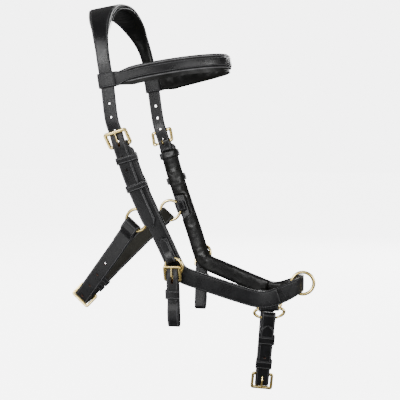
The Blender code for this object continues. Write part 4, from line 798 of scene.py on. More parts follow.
def soft_folds() -> bpy.types.NodeTree:
    """Return the small folds of soft leather over stuffing: stretched noise, from 0 to 1."""

    def build(graph: Graph, given: dict) -> dict:
        """Turn noise of two sizes into folds."""
        place, finer = given["Vector"], graph.sum("MULTIPLY", given["Scale"], 3.7)
        coarse = graph.add("TexNoise", {"Vector": place, "Scale": given["Scale"], "Detail": 1.5,
                                        "Distortion": 0.6})
        fine = graph.add("TexNoise", {"Vector": place, "Scale": finer, "Detail": 2.0})
        both = graph.sum("MULTIPLY_ADD", fine.outputs["Fac"], 0.12, coarse.outputs["Fac"])
        return {"Height": both, "Shade": graph.ramp(coarse.outputs["Fac"], 0.35, 0.65)}

    return effect("soft_folds", {"Vector": None, "Scale": 120.0}, ("Height", "Shade"), build)


@dataclass(frozen=True)
class Finish:
    """What every finish has: its name, the record's slot that it belongs to, and a Principled shader."""

    word: str
    slot: str

    def material(self) -> bpy.types.Material:
        """Return the finish's material, built on its first use."""
        found = bpy.data.materials.get("bridle_" + self.word)
        if found:
            return found
        made = bpy.data.materials.new("bridle_" + self.word)
        made.use_nodes = True
        graph = Graph(made.node_tree)
        graph.fill(made.node_tree.nodes["Principled BSDF"], self.look(graph))
        return made

    def look(self, graph: Graph) -> dict:
        """Return what goes into the shader's inputs, by name; each finish says what."""
        raise NotImplementedError


@dataclass(frozen=True)
class Leather(Finish):
    """Smooth dyed leather: satin face, creased edges with highlights painted along the crease and at the rolled
    edge, and a rougher flesh side.
    """

    face: tuple = (0.0056, 0.0056, 0.0063, 1.0)
    worn: tuple = (0.0106, 0.0106, 0.0116, 1.0)
    flesh: Optional[tuple] = None
    roughness: float = 0.30
    roll_depth: float = 0.42 * MM
    # glint: a pale grey painted highlight, painted along the crease line and where the edge rolls down
    glint: tuple = (0.080, 0.080, 0.084, 1.0)
    gloss: float = 0.30
    # the largest share of the painted highlight at the very edge
    rim: float = 0.40
    crease_depth: float = 0.46 * MM
    crease_inset: float = 1.9 * MM
    crease_width: float = 0.75 * MM
    grain_scale: float = 1500.0
    grain_depth: float = 0.018 * MM

    def look(self, graph: Graph) -> dict:
        """Mix the face's colours by clouds and the flesh side's by where the surface lies, then paint
        highlights into the colour along the crease line and at the rolled edges.
        """
        hide = graph.pattern(hide_grain(), self.grain_scale)
        edge = graph.add("Attribute", attribute_name="edge").outputs["Fac"]
        crease = graph.add("Group", {"Edge": edge, "Inset": self.crease_inset, "Width": self.crease_width},
                           node_tree=edge_crease()).outputs
        line, roll = crease["Line"], crease["Roll"]
        colour = graph.mixed(hide["Shade"], self.face, self.worn)
        shine = graph.ramp(hide["Shade"], 0.0, 1.0, self.roughness - 0.05, self.roughness + 0.06)
        if self.flesh:
            outer = graph.ramp(graph.add("Attribute", attribute_name="grain").outputs["Fac"], 0.3, 0.7)
            line = graph.sum("MULTIPLY", line, outer)
            colour = graph.mixed(outer, self.flesh, colour)
            shine = graph.sum("MULTIPLY_ADD", graph.ramp(outer, 0.0, 1.0, 1.0, 0.0), 0.2, shine)
        # Painted highlights: the glint colour is painted along the crease line, and a share of it where the
        # edge rolls down, in place of light caught there.
        colour = graph.mixed(line, colour, self.glint)
        colour = graph.mixed(graph.ramp(roll, 0.5, 1.0, 0.0, self.rim), colour, self.glint)
        height = graph.sum("MULTIPLY", hide["Height"], self.grain_depth)
        height = graph.sum("MULTIPLY_ADD", line, -self.crease_depth, height)
        height = graph.sum("MULTIPLY_ADD", roll, -self.roll_depth, height)
        return {"Base Color": colour, "Roughness": shine, "Normal": graph.bumped(height),
                "Specular IOR Level": self.gloss}


@dataclass(frozen=True)
class Lining(Finish):
    """Soft stuffed lining leather, with small folds and a dull, faintly olive sheen."""

    face: tuple = (0.0032, 0.0032, 0.0031, 1.0)
    # the paler colour is painted on the folds' tops, with the darker face colour in their hollows: painted
    # light and shade that follow the folds
    worn: tuple = (0.0068, 0.0068, 0.0060, 1.0)
    roughness: float = 0.34
    fold_depth: float = 0.80 * MM
    fold_scale: float = 46.0
    grain_scale: float = 1100.0
    grain_depth: float = 0.008 * MM
    gloss: float = 0.20

    def look(self, graph: Graph) -> dict:
        """Fold the surface with noise, and paint the folds' tops paler and their hollows darker, as painted
        light and shade.
        """
        folds = graph.pattern(soft_folds(), self.fold_scale)
        hide = graph.pattern(hide_grain(), self.grain_scale)
        height = graph.sum("MULTIPLY", folds["Height"], self.fold_depth)
        height = graph.sum("MULTIPLY_ADD", hide["Height"], self.grain_depth, height)
        shine = graph.ramp(folds["Shade"], 0.0, 1.0, self.roughness + 0.08, self.roughness - 0.06)
        # The folds also set the colour: a painted highlight on their tops and painted shade in their hollows.
        return {"Base Color": graph.mixed(folds["Shade"], self.face, self.worn), "Roughness": shine,
                "Normal": graph.bumped(height), "Specular IOR Level": self.gloss}


@dataclass(frozen=True)
class Metal(Finish):
    """Polished pale brass, a little uneven."""

    bright: tuple = (0.95, 0.77, 0.34, 1.0)
    deep: tuple = (0.86, 0.63, 0.21, 1.0)
    roughness: float = 0.22
    cloud_scale: float = 260.0

    def look(self, graph: Graph) -> dict:
        """Mix two golds and two roughnesses by small clouds."""
        shade = graph.pattern(soft_folds(), self.cloud_scale)["Shade"]
        shine = graph.ramp(shade, 0.0, 1.0, self.roughness + 0.10, self.roughness)
        return {"Base Color": graph.mixed(shade, self.deep, self.bright), "Roughness": shine, "Metallic": 1.0}


@dataclass(frozen=True)
class Plain(Finish):
    """A plain finish of one colour with a little unevenness: piping, thread or cut leather."""

    colour: tuple = (0.6, 0.6, 0.6, 1.0)
    shade: tuple = (0.5, 0.5, 0.5, 1.0)
    roughness: float = 0.45
    cloud_scale: float = 2600.0

    def look(self, graph: Graph) -> dict:
        """Mix the colour with its shade by the hide's clouds."""
        share = graph.pattern(hide_grain(), self.cloud_scale)["Shade"]
        return {"Base Color": graph.mixed(share, self.shade, self.colour), "Roughness": self.roughness}


LEATHER = Leather("leather", "black_leather")
FLESHY = Leather("reversed_leather", "black_leather", face=(0.0070, 0.0063, 0.0034, 1.0),
                 worn=(0.0110, 0.0101, 0.0058, 1.0), flesh=(0.0056, 0.0056, 0.0063, 1.0), roughness=0.46)
LINING = Lining("lining", "soft_lining")
BRASS = Metal("brass", "brass")
WHITE_PIPING = Plain("white_piping", "white_piping", (0.52, 0.52, 0.51, 1.0), (0.36, 0.36, 0.355, 1.0), 0.5)
GREY_PIPING = Plain("grey_piping", "white_piping", (0.13, 0.132, 0.135, 1.0), (0.085, 0.085, 0.088, 1.0), 0.4)
THREAD = Plain("thread", "black_leather", (0.016, 0.016, 0.017, 1.0), (0.009, 0.009, 0.009, 1.0), 0.6)
CUT_HIDE = Plain("cut_hide", "black_leather", (0.10, 0.040, 0.025, 1.0), (0.04, 0.018, 0.012, 1.0), 0.8)


class Workshop:
    """Puts finished pieces on the frame: which body a CAD node moves with, and what stands for it."""

    def __init__(self, frame: dict) -> None:
        """Note each CAD node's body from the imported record."""
        groups = frame["record"]["behaviour"]["bodies"]
        self.body = {node: body for body, nodes in groups.items() for node in nodes}

    def keep(self, shell: Shell, node: str, finish: Finish, stands: bool = True,
             word: str = "") -> bpy.types.Object:
        """Make a shell an object that rides with a CAD node.

        Args:
            shell: its surface.
            node: the CAD node that it belongs to.
            finish: what it is made of.
            stands: whether it stands for the node, which then isn't shown.
            word: what the piece is called after the node's name; the finish's own word if empty.

        Returns:
            The object.
        """
        piece = shell.made(node + "_" + (word or finish.word))
        piece.data.materials.append(finish.material())
        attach(piece, self.body[node])
        if stands:
            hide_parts(node)
        return piece

    def keep_strap(self, shell: Shell, node: str, finish: Finish = LEATHER, holes: Sequence = ()) -> None:
        """Keep a strap and punch its holes, given as (frames, depth, slot, diameter)."""
        piece = self.keep(shell, node, finish)
        for frames, depth, slot, diameter in holes:
            punched(piece, frames, depth, slot, diameter, CUT_HIDE.material())

    def keep_whole(self, route: Route, cut: StrapCut, node: str, finish: Finish = LEATHER,
                   holes: Sequence = ()) -> None:
        """Keep the strap that runs the whole length of a route."""
        self.keep_strap(strap_shell(route, route.stations(0.0, route.length), cut), node, finish, holes)

    def keep_pad(self, shell: Shell, node: str, fill: float = 0.75) -> None:
        """Keep a stuffed lining."""
        self.keep(shell, node, LINING)

    def keep_stitches(self, rows: Sequence[Frame], node: str) -> None:
        """Keep rows of stitches as one piece beside the node's own leather."""
        shell = stitch_shell(rows[0], Stitching.length, Stitching.thickness)
        for row in rows[1:]:
            shell = shell.joined(stitch_shell(row, Stitching.length, Stitching.thickness))
        self.keep(shell, node, THREAD, stands=False, word="stitching")


@dataclass(frozen=True)
class Stitching:
    """Rows of saddler's stitches."""

    pitch: float = 2.9 * MM
    length: float = 2.2 * MM
    thickness: float = 0.62 * MM
    inset: float = 1.9 * MM

    def rows(self, route: Route, start: float, stop: float, half: Width, level: float,
             shift: Width = 0.0, inset: Optional[float] = None) -> list:
        """Return two rows of frames, one in from each edge.

        Args:
            route: the line of the strap.
            start: where the rows start.
            stop: where they stop.
            half: the strap's half width.
            level: how far outside the route its face lies.
            shift: how far its middle lies across.
            inset: how far in from the edges the rows run.
        """
        places = np.arange(start, stop, self.pitch)
        aside = as_width(half)(places) - (self.inset if inset is None else inset)
        centre = as_width(shift)(places)
        rows = route.read(places)
        found = []
        for sign in (-1.0, 1.0):
            points = rows.point(0.0, (centre + sign * aside)[:, None], level)
            along = unit(np.gradient(points, axis=0))
            found.append(Frame(points, along, np.cross(rows.out, along), rows.out))
        return found

    def line(self, frame: Frame, start: Array, stop: Array, level: float) -> Frame:
        """Return frames for a straight row of stitches.

        Args:
            frame: a place on the strap, taken as flat round it.
            start: the row's first (along, across) place.
            stop: its last one.
            level: how far out of the frame its face lies.
        """
        reach = float(np.linalg.norm(stop - start))
        share = (np.arange(0.0, reach, self.pitch) / reach)[:, None]
        flat = start + share * (stop - start)
        points = frame.origin + flat[:, :1] * frame.along + flat[:, 1:] * frame.across + level * frame.out
        ahead = unit(points[-1] - points[0])
        along = np.tile(ahead, (len(points), 1))
        out = np.tile(frame.out, (len(points), 1))
        return Frame(points, along, np.cross(out, along), out)


@dataclass
class Buckle:
    """A wire buckle on a strap's folded end; base is the strap's frame at the heel bar."""

    base: Frame
    bar: float
    width: float
    length: float
    tilt: float
    thickness: float
    tongue: float = 2.0 * MM
    swell: float = 1.55

    def __post_init__(self) -> None:
        """Work out where the heel bar, the billet and the tongue lie."""
        self.below = fold_radius(self.bar, self.thickness)
        self.heel = self.base.moved(out=-self.below).tipped(self.tilt)
        self.over_heel = self.thickness + GAP
        self.front_along = self.length * math.cos(self.tilt)
        self.front_out = self.length * math.sin(self.tilt) - self.below
        self.under_front = self.front_out - (self.bar + self.thickness) / 2 - 2.0 * GAP
        self.eye = fold_radius(self.bar, self.tongue)
        self.hole_along = 0.55 * self.eye + 1.9 * MM
        self.hole_slot = 4.2 * MM
        self.slot = self.hole_slot + 1.4 * MM
        self.hole_width = self.tongue + 4.0 * GAP

    def turned_end(self, turned_back: float) -> Array:
        """Return the flat path, in the base frame, from over the heel bar round it to the cut end."""
        path = fold((0.0, -self.below), (-1.0, 0.0), (0.0, 1.0), self.bar, self.thickness, 0.0, turned_back)
        return path[::-1]

    def make(self, shop: Workshop, node: str) -> None:
        """Make the wire frame and the tongue."""
        shop.keep(self.frame_shell(), node + "_frame", BRASS)
        shop.keep(self.tongue_shell(), node + "_tongue", BRASS)

    def frame_shell(self) -> Shell:
        """Return the flat-faced frame, slimmer where the strap is folded round it."""
        grow = (self.swell - 1.0) * self.bar
        path = rounded_rectangle(self.width + grow, self.length + grow / 2, 0.62 * self.bar)
        looped = np.vstack([path, path[:1]]) + (0.0, self.length / 2 + grow / 4)
        marks = arc_lengths(looped)
        even = np.linspace(0.0, marks[-1], 90)
        path = read_rows(np.unique(np.round(np.concatenate([marks[:-1], even[:-1]]), 5)), marks, looped)
        beside = eased((np.abs(path[:, 0]) - self.width / 2 + 1.7 * self.bar) / self.bar)
        share = 1.0 + (self.swell - 1.0) * np.maximum(beside, eased(path[:, 1] / (1.5 * self.bar)))
        points = self.heel.origin + path[:, 1:] * self.heel.along + path[:, :1] * self.heel.across
        return wire_shell(points, self.heel.out, self.bar, 0.90 * self.bar, 16, True, 3.6, share)

    def tongue_shell(self) -> Shell:
        """Return the tongue: round the heel bar, up through the billet's hole and on to the front bar."""
        angle = np.radians(np.linspace(105.0, 360.0, 22))
        eye = np.column_stack([self.eye * np.sin(angle), self.eye * np.cos(angle)])
        reach = self.hole_along + (self.hole_slot + self.hole_width) / 2 - 2.5 * GAP
        clear = self.over_heel + self.thickness / 2 + 1.5 * GAP + self.tongue / 2
        through = np.array([(reach, clear), (reach + 4.0 * MM, clear + GAP)])
        resting = np.array([(self.length, self.eye), (self.length + self.tongue, self.eye - GAP)])
        line = np.vstack([self.heel.laid(eye), self.base.laid(through), self.heel.laid(resting)])
        marks = arc_lengths(line)
        places = np.linspace(0.0, marks[-1], 60)
        taper = 0.45 + 0.55 * np.sqrt(np.clip((marks[-1] - places) / self.tongue, 0.0, 1.0))
        return wire_shell(read_rows(places, marks, line), self.heel.across, self.tongue,
                          0.92 * self.tongue, 12, False, 2.3, taper)

    def make_keeper(self, shop: Workshop, node: str, frame: Frame, width: float, length: float) -> None:
        """Make a keeper round both layers of the buckled strap.

        Args:
            shop: where it is kept.
            node: the keeper's name.
            frame: its middle.
            width: the layers' width together.
            length: how far it reaches along the strap.
        """
        height = self.over_heel + self.thickness + 2.0 * GAP
        shop.keep(keeper_shell(frame, width + 2.0 * LAYOUT.keeper_room, height, length, LAYOUT.keeper),
                  node, LEATHER)

    def tongue_hole(self, frames: list, depth: float) -> tuple:
        """Return the holes that the tongue's end goes through, as Workshop.keep_strap takes them."""
        return frames, depth, self.slot, self.hole_width

    def slot_hole(self) -> tuple:
        """Return the slot that the tongue's eye needs in the strap's folded end."""
        reach = self.eye + self.tongue / 2 + 2.0 * GAP
        frame = Frame(self.heel.origin, self.base.along, self.base.across, self.base.out)
        return [frame], 3.7 * reach, 2.1 * reach - self.hole_width, self.hole_width


@dataclass(frozen=True)
class Layout:
    """Where the bridle's lines run, in metres from the poll: forward, half across, and down."""

    half_brow: float = 99.9 * MM
    half_buckle: float = 98.5 * MM
    half_bend: float = 66.5 * MM
    half_low_bend: float = 44.5 * MM
    cheek_bulge: float = 4.0 * MM
    cheek_sag: float = 3.0 * MM
    nose_bulge: float = 1.5 * MM
    crown_rise: float = 4.0 * MM
    brow_loop_forward: float = 26.9 * MM
    buckle_forward: float = 48.4 * MM
    bend_forward: float = 112.0 * MM
    low_bend_forward: float = 213.5 * MM
    nose_forward: float = 266.0 * MM
    forehead_forward: float = 163.0 * MM
    brow_loop_drop: float = 98.0 * MM
    forehead_drop: float = 71.0 * MM
    buckle_drop: float = 179.0 * MM
    bend_drop: float = 347.5 * MM
    nose_fall: float = 34.0 * MM
    nose_rise: float = 18.0 * MM
    crown_squareness: float = 2.5
    nose_squareness: float = 2.15
    nose_turn_lead: float = 40.0 * MM
    upper_slope: float = 0.19
    crown_tilt: float = 0.16
    bend_rounding: float = 12.0 * MM
    strap: float = 2.6 * MM
    billet_width: float = 18.0 * MM
    cheek_width: float = 22.0 * MM
    lap_before: float = 8.0 * MM
    lap_after: float = 22.0 * MM
    pad_edge: float = 3.0 * MM
    pad_crown: float = 5.2 * MM
    pad_overhang: float = 0.5 * MM
    piping: float = 2.0 * MM
    hole: float = 4.0 * MM
    turn_back: float = 13.0 * MM
    billet_set_back: float = 5.0 * MM
    billet_tail: float = 112.0 * MM
    keeper: float = 1.3 * MM
    keeper_room: float = 0.5 * MM

    @property
    def low_bend_drop(self) -> float:
        """How far below the poll the noseband's lowest points lie."""
        return self.bend_drop + self.nose_fall

    @property
    def nose_drop(self) -> float:
        """How far below the poll the noseband's front lies."""
        return self.low_bend_drop - self.nose_rise


LAYOUT = Layout()


@dataclass
class CheekLine:
    """One side's line from the cheek buckle down to the bend and round the nose, and what hangs on it."""

    side: Side
    jaw_below_buckle: float = 97.0 * MM
    jaw_radius: float = 14.2 * MM
    jaw_wire: float = 3.0 * MM
    jaw_behind: float = 22.5 * MM
    tab_thickness: float = 1.2 * MM
    tab_room: float = 0.9 * MM
    bit_ring_drop: float = 334.5 * MM
    bit_radius: float = 11.4 * MM
    bit_wire: float = 2.9 * MM
    bit_flap: float = math.radians(8.0)
    chape_forward: float = 0.3 * MM
    chape_thickness: float = 1.6 * MM
    chape_room: float = 0.8 * MM
    hanger_back: float = 1.2 * MM
    dee_forward: float = 0.5 * MM
    dee_skew: float = 11.0 * MM
    dee_wire: float = 3.0 * MM
    dee_chape_width: float = 26.0 * MM
    dee_chape_thickness: float = 1.4 * MM
    dee_chape_shows: float = 1.4 * MM

    def __post_init__(self) -> None:
        """Lay the route and find the places on it."""
        points = smooth_line(self.rows())
        self.route = Route(points, self.outward(points), -self.side.value)
        base = self.route.at(0.0).reversed().moved(across=-LAYOUT.billet_set_back)
        self.buckle = Buckle(base, bar=2.8 * MM, width=26.4 * MM, length=18.2 * MM, tilt=math.radians(20.0),
                             thickness=LAYOUT.strap)
        self.low_bend = float(self.route.marks[np.argmin(self.route.points[:, 2])])
        self.lap_start = self.low_bend - LAYOUT.lap_before
        self.lap_end = self.low_bend + LAYOUT.lap_after
        self.find_jaw_ring()
        self.find_bit_ring()
        self.find_dee()

    def rows(self) -> Array:
        """Return the line's points: straight down the cheek with a bulge of 4s(1-s) and a sag of
        6.75 s(1-s)^2, a rounded bend, straight to the low bend, and round the nose as a superellipse."""
        place, side = LAYOUT, self.side.value
        heel = np.array((place.buckle_forward, side * place.half_buckle, -place.buckle_drop))
        bend = np.array((place.bend_forward, side * place.half_bend, -place.bend_drop))
        low = np.array((place.low_bend_forward, side * place.half_low_bend, -place.low_bend_drop))
        share = np.array((0.0, 0.25, 0.5, 0.75, 1.0))[:, None]
        bulge = np.array((0.0, side, 0.0))
        cheek = heel + share * (bend - heel) + 4.0 * share * (1.0 - share) * place.cheek_bulge * bulge
        cheek[:, :1] -= 6.75 * share * (1.0 - share) ** 2 * place.cheek_sag
        nose = bend + share * (low - bend) + 4.0 * share * (1.0 - share) * place.nose_bulge * bulge
        corner = rounded_corner(cheek[3], bend, nose[1], place.bend_rounding)
        angle = np.radians((79.0, 68.0, 57.0, 46.0, 35.0, 24.0, 12.0, 0.0))
        power = 2.0 / place.nose_squareness
        x = place.low_bend_forward + (place.nose_forward - place.low_bend_forward) * np.cos(angle) ** power
        y = side * place.half_low_bend * np.sin(angle) ** power
        turned = np.sin((1.0 - angle / (math.pi / 2)) * math.pi / 2) ** 1.4
        drop = place.low_bend_drop + (place.nose_drop - place.low_bend_drop) * turned
        front = np.column_stack([x, y, -drop])
        return np.vstack([cheek[:4], corner, nose[1:4], [low + (0.0, 0.0, 1.5 * MM)], front])

    def outward(self, points: Array) -> Array:
        """Return outward vectors: sideways on the cheek, easing to square to the line round the nose."""
        place, side = LAYOUT, self.side.value
        reach = place.nose_forward - place.low_bend_forward + place.nose_turn_lead
        share = eased((points[:, 0] - place.low_bend_forward + place.nose_turn_lead) / reach)[:, None]
        steps = unit(np.gradient(points, axis=0))
        level = unit(np.column_stack([np.abs(steps[:, 1]), side * np.abs(steps[:, 0]),
                                      np.zeros(len(steps))]))
        return unit(np.array((0.0, side, 0.0)) * (1.0 - share) + level * share)

    def find_jaw_ring(self) -> None:
        """Find the jaw ring's frame, whose plane holds the jaw strap's across direction, and its tab's."""
        frame = self.route.at(self.jaw_below_buckle)
        across = JawStrap.across()
        out = square(frame.out, across)
        along = facing(np.cross(across, out), 2, -1.0)
        forward = square(frame.across, out)
        depth = LAYOUT.strap / 2 + self.tab_thickness + self.jaw_wire / 2 + 2.0 * self.tab_room
        front = frame.point(0.0, self.jaw_radius - self.jaw_behind, -depth)
        self.jaw_ring = Frame(front - self.jaw_radius * forward, along, across, out)
        flat_out = unit(out + frame.out)
        flat_forward = square(forward, flat_out)
        self.jaw_tab = Frame(front, flat_forward, np.cross(flat_out, flat_forward), flat_out)

    def find_bit_ring(self) -> None:
        """Find the bit ring's frame, a little outwards from its chape, and the hanger's."""
        self.chape_place = self.route.place_of_drop(self.bit_ring_drop) - self.bit_radius
        frame = self.route.at(self.chape_place)
        radius = fold_radius(self.bit_wire, self.chape_thickness, self.chape_room)
        self.chape_lift = LAYOUT.strap / 2 + GAP + self.chape_thickness / 2 + radius
        self.chape_frame = frame.moved(across=self.chape_forward, out=self.chape_lift)
        flapped = self.chape_frame.tipped(self.bit_flap)
        self.bit_ring = flapped.moved(along=self.bit_radius)
        down = square(np.array((0.0, 0.0, -1.0)), flapped.out)
        across = unit(np.cross(flapped.out, down)) * -self.side.value
        self.hanger = Frame(self.bit_ring.origin, down, across, flapped.out).moved(across=-self.hanger_back)

    def find_dee(self) -> None:
        """Find the frame of the chin dee's straight bar, which hangs below the noseband."""
        self.dee_place = self.low_bend + self.dee_forward - self.side.value * self.dee_skew / 2
        frame = self.route.at(self.dee_place)
        along = unit(frame.along + unit(ChinStrap.spread() * (1.0, 1.0, 0.0)))
        out = square(frame.out, along)
        across = facing(unit(np.cross(along, out)), 2, 1.0)
        inset = 1.5 * LAYOUT.strap + 2.0 * GAP + self.dee_chape_thickness / 2
        ends = self.route.read(self.dee_place + np.array((-0.5, 0.5)) * self.dee_chape_width).origin
        slant = max(0.0, *((frame.origin - ends) @ out).tolist()) + 3.0 * GAP
        radius = fold_radius(self.dee_wire, self.dee_chape_thickness)
        drop = LAYOUT.cheek_width / 2 + self.dee_chape_shows + self.dee_wire / 2
        self.dee_bar = Frame(frame.point(0.0, -drop, -inset - slant - radius), along, across, out)


@dataclass
class Crown:
    """The headpiece over the poll with its two billets, its stuffed lining and its pipings."""

    shop: Workshop
    right: CheekLine
    width: float = 49.0 * MM
    flare: float = 125.0 * MM
    taper: float = 1.5
    set_back: float = 10.5 * MM
    past_tail: float = 2.0 * MM
    round_end: float = 12.0 * MM
    pad_crown: float = 7.0 * MM
    pad_half_length: float = 150.0 * MM
    hole_pitch: float = 17.5 * MM
    holes: tuple = (-2, -1, 1, 2, 3)
    inner_piping: float = 0.8 * MM
    piped: float = 72.0 * MM
    drawing_in: float = 42.0 * MM

    def __post_init__(self) -> None:
        """Lay the route from the right billet's tip, up over the poll, to the left billet's tip."""
        self.route = mirrored_route(self.rows(), -1.0)
        self.middle = self.route.length / 2

    def rows(self) -> Array:
        """Return the right half's points and outward vectors.

        The billet lies on the cheek strap, goes over the heel bar and under the front bar; above the
        browband the arch is a superellipse y = W cos(a)^(2/n), rise = H sin(a)^(2/n).
        """
        right, place = self.right, LAYOUT
        buckle = right.buckle
        lying = right.route.read(np.linspace(place.billet_tail + self.past_tail, 0.0, 16))
        rows = [np.hstack([lying.point(0.0, -place.billet_set_back, buckle.over_heel), lying.out])]
        for share, high in ((0.5, 0.55), (1.0, 0.0), (1.9, -0.05)):
            level = buckle.under_front + (buckle.over_heel - buckle.under_front) * high
            rows.append([[*buckle.base.point(share * buckle.front_along, 0.0, level), *buckle.base.out]])
        angle = np.radians((0.0, 6.0, 14.0, 24.0, 35.0, 46.0, 57.0, 67.0, 76.0, 84.0, 90.0))
        power = 2.0 / place.crown_squareness
        height = place.brow_loop_drop + place.crown_rise
        y = place.half_brow * np.maximum(np.cos(angle), 0.0) ** power
        rise = height * np.sin(angle) ** power
        side = (y / place.half_brow) ** (place.crown_squareness - 1.0) / place.half_brow
        top = (rise / height) ** (place.crown_squareness - 1.0) / height
        out = unit(np.column_stack([np.zeros(len(angle)), -side, top]))
        rows.append(np.column_stack([place.brow_loop_forward - place.upper_slope * rise, -y,
                                     rise - place.brow_loop_drop, -place.crown_tilt * out[:, 2] ** 2,
                                     out[:, 1], out[:, 2]]))
        found = np.vstack(rows)
        found[:, 3:] *= MM
        return found

    def flared(self, places: Array) -> Array:
        """Return the flare's share, 1 at the poll: (1 - u)^taper of the softened distance u."""
        soft = 0.06 * self.flare
        share = np.hypot(places - self.middle, soft) - soft
        return np.clip(1.0 - share / self.flare, 0.0, 1.0) ** self.taper

    def half_width(self, places: Array) -> Array:
        """Return the half width: a billet's, growing to the crown's with the flare."""
        return LAYOUT.billet_width / 2 + (self.width - LAYOUT.billet_width) / 2 * self.flared(places)

    def shift(self, places: Array) -> Array:
        """Return how far the middle is set back."""
        return -self.set_back * self.flared(places)

    def build(self) -> None:
        """Make the leather with its holes, the lining and the pipings."""
        route, place, buckle, tip = self.route, LAYOUT, self.right.buckle, self.past_tail
        cut = StrapCut(self.half_width, place.strap, Tip.ROUND, self.round_end, Tip.ROUND, self.round_end,
                       0.25 * MM)
        leather = strap_shell(route, route.stations(tip, route.length - tip), cut, shift=self.shift)
        tongue_hole = tip + place.billet_tail + buckle.hole_along
        spare = [tongue_hole + n * self.hole_pitch for n in self.holes]
        near = [route.at(where) for where in spare]
        far = [route.at(route.length - where) for where in spare]
        used = [route.at(tongue_hole), route.at(route.length - tongue_hole)]
        depth = 4.0 * place.strap
        self.shop.keep_strap(leather, "headpiece", LEATHER, (
            (near, depth, 0.0, 0.78 * place.hole), (far, depth, 0.0, place.hole),
            buckle.tongue_hole(used, depth)))
        self.build_lining()

    def build_lining(self) -> None:
        """Make the stuffed lining and the pipings, the inner one a thin bead along the lining's edge."""
        route, place = self.route, LAYOUT
        level = -place.strap / 2 - GAP
        margin = GAP + place.piping

        def drawn(where: Array) -> Array:
            """Return 0 over the crown and 1 lower down, where the lining and pipings draw in."""
            return eased((np.abs(where - self.middle) - self.piped) / self.drawing_in)

        def reach(where: Array) -> Array:
            """Return how far the lining reaches from its middle."""
            return self.half_width(where) + margin * (1.0 - 1.4 * drawn(where))

        lining = pad_shell(route, self.near_middle(self.pad_half_length), reach, reach, self.pad_crown, level,
                           self.shift, place.pad_edge, 0.16 * MM)
        self.shop.keep_pad(lining, "headpiece_pad", 0.8)
        places = self.near_middle(self.piped + self.drawing_in)
        rows, gone = route.read(places), drawn(places)
        for word, sign in (("front", 1.0), ("rear", -1.0)):
            beside = (GAP + 0.4 * place.piping) * (1.0 - 1.6 * gone)
            aside = self.shift(places) + sign * (self.half_width(places) + beside)
            out = level + (GAP + place.piping / 2) * (1.0 - gone)
            line = rows.point(0.0, aside[:, None], out[:, None])
            self.shop.keep(bead_shell(line, rows.out, place.piping, 0.7 - 0.6 * gone),
                           "headpiece_" + word + "_piping", WHITE_PIPING)
        aside = self.shift(places) + reach(places) - 0.2 * MM
        line = rows.point(0.0, aside[:, None], level - place.pad_edge - 0.6 * MM)
        bead = bead_shell(line, rows.out, self.inner_piping, 1.0 - 0.8 * gone, 8)
        self.shop.keep(bead, "headpiece_pad", GREY_PIPING, stands=False, word="inner_piping")
        sewn = 0.9 * self.pad_half_length
        edge = Stitching().rows(route, self.middle - sewn, self.middle + sewn, self.half_width,
                                place.strap / 2, self.shift, 1.6 * MM)
        self.shop.keep_stitches(edge, "headpiece")

    def near_middle(self, reach: float) -> Array:
        """Return fine stations that reach this far on either side of the poll."""
        return self.route.stations(self.middle - reach, self.middle + reach, 2.0 * MM, 4.0)


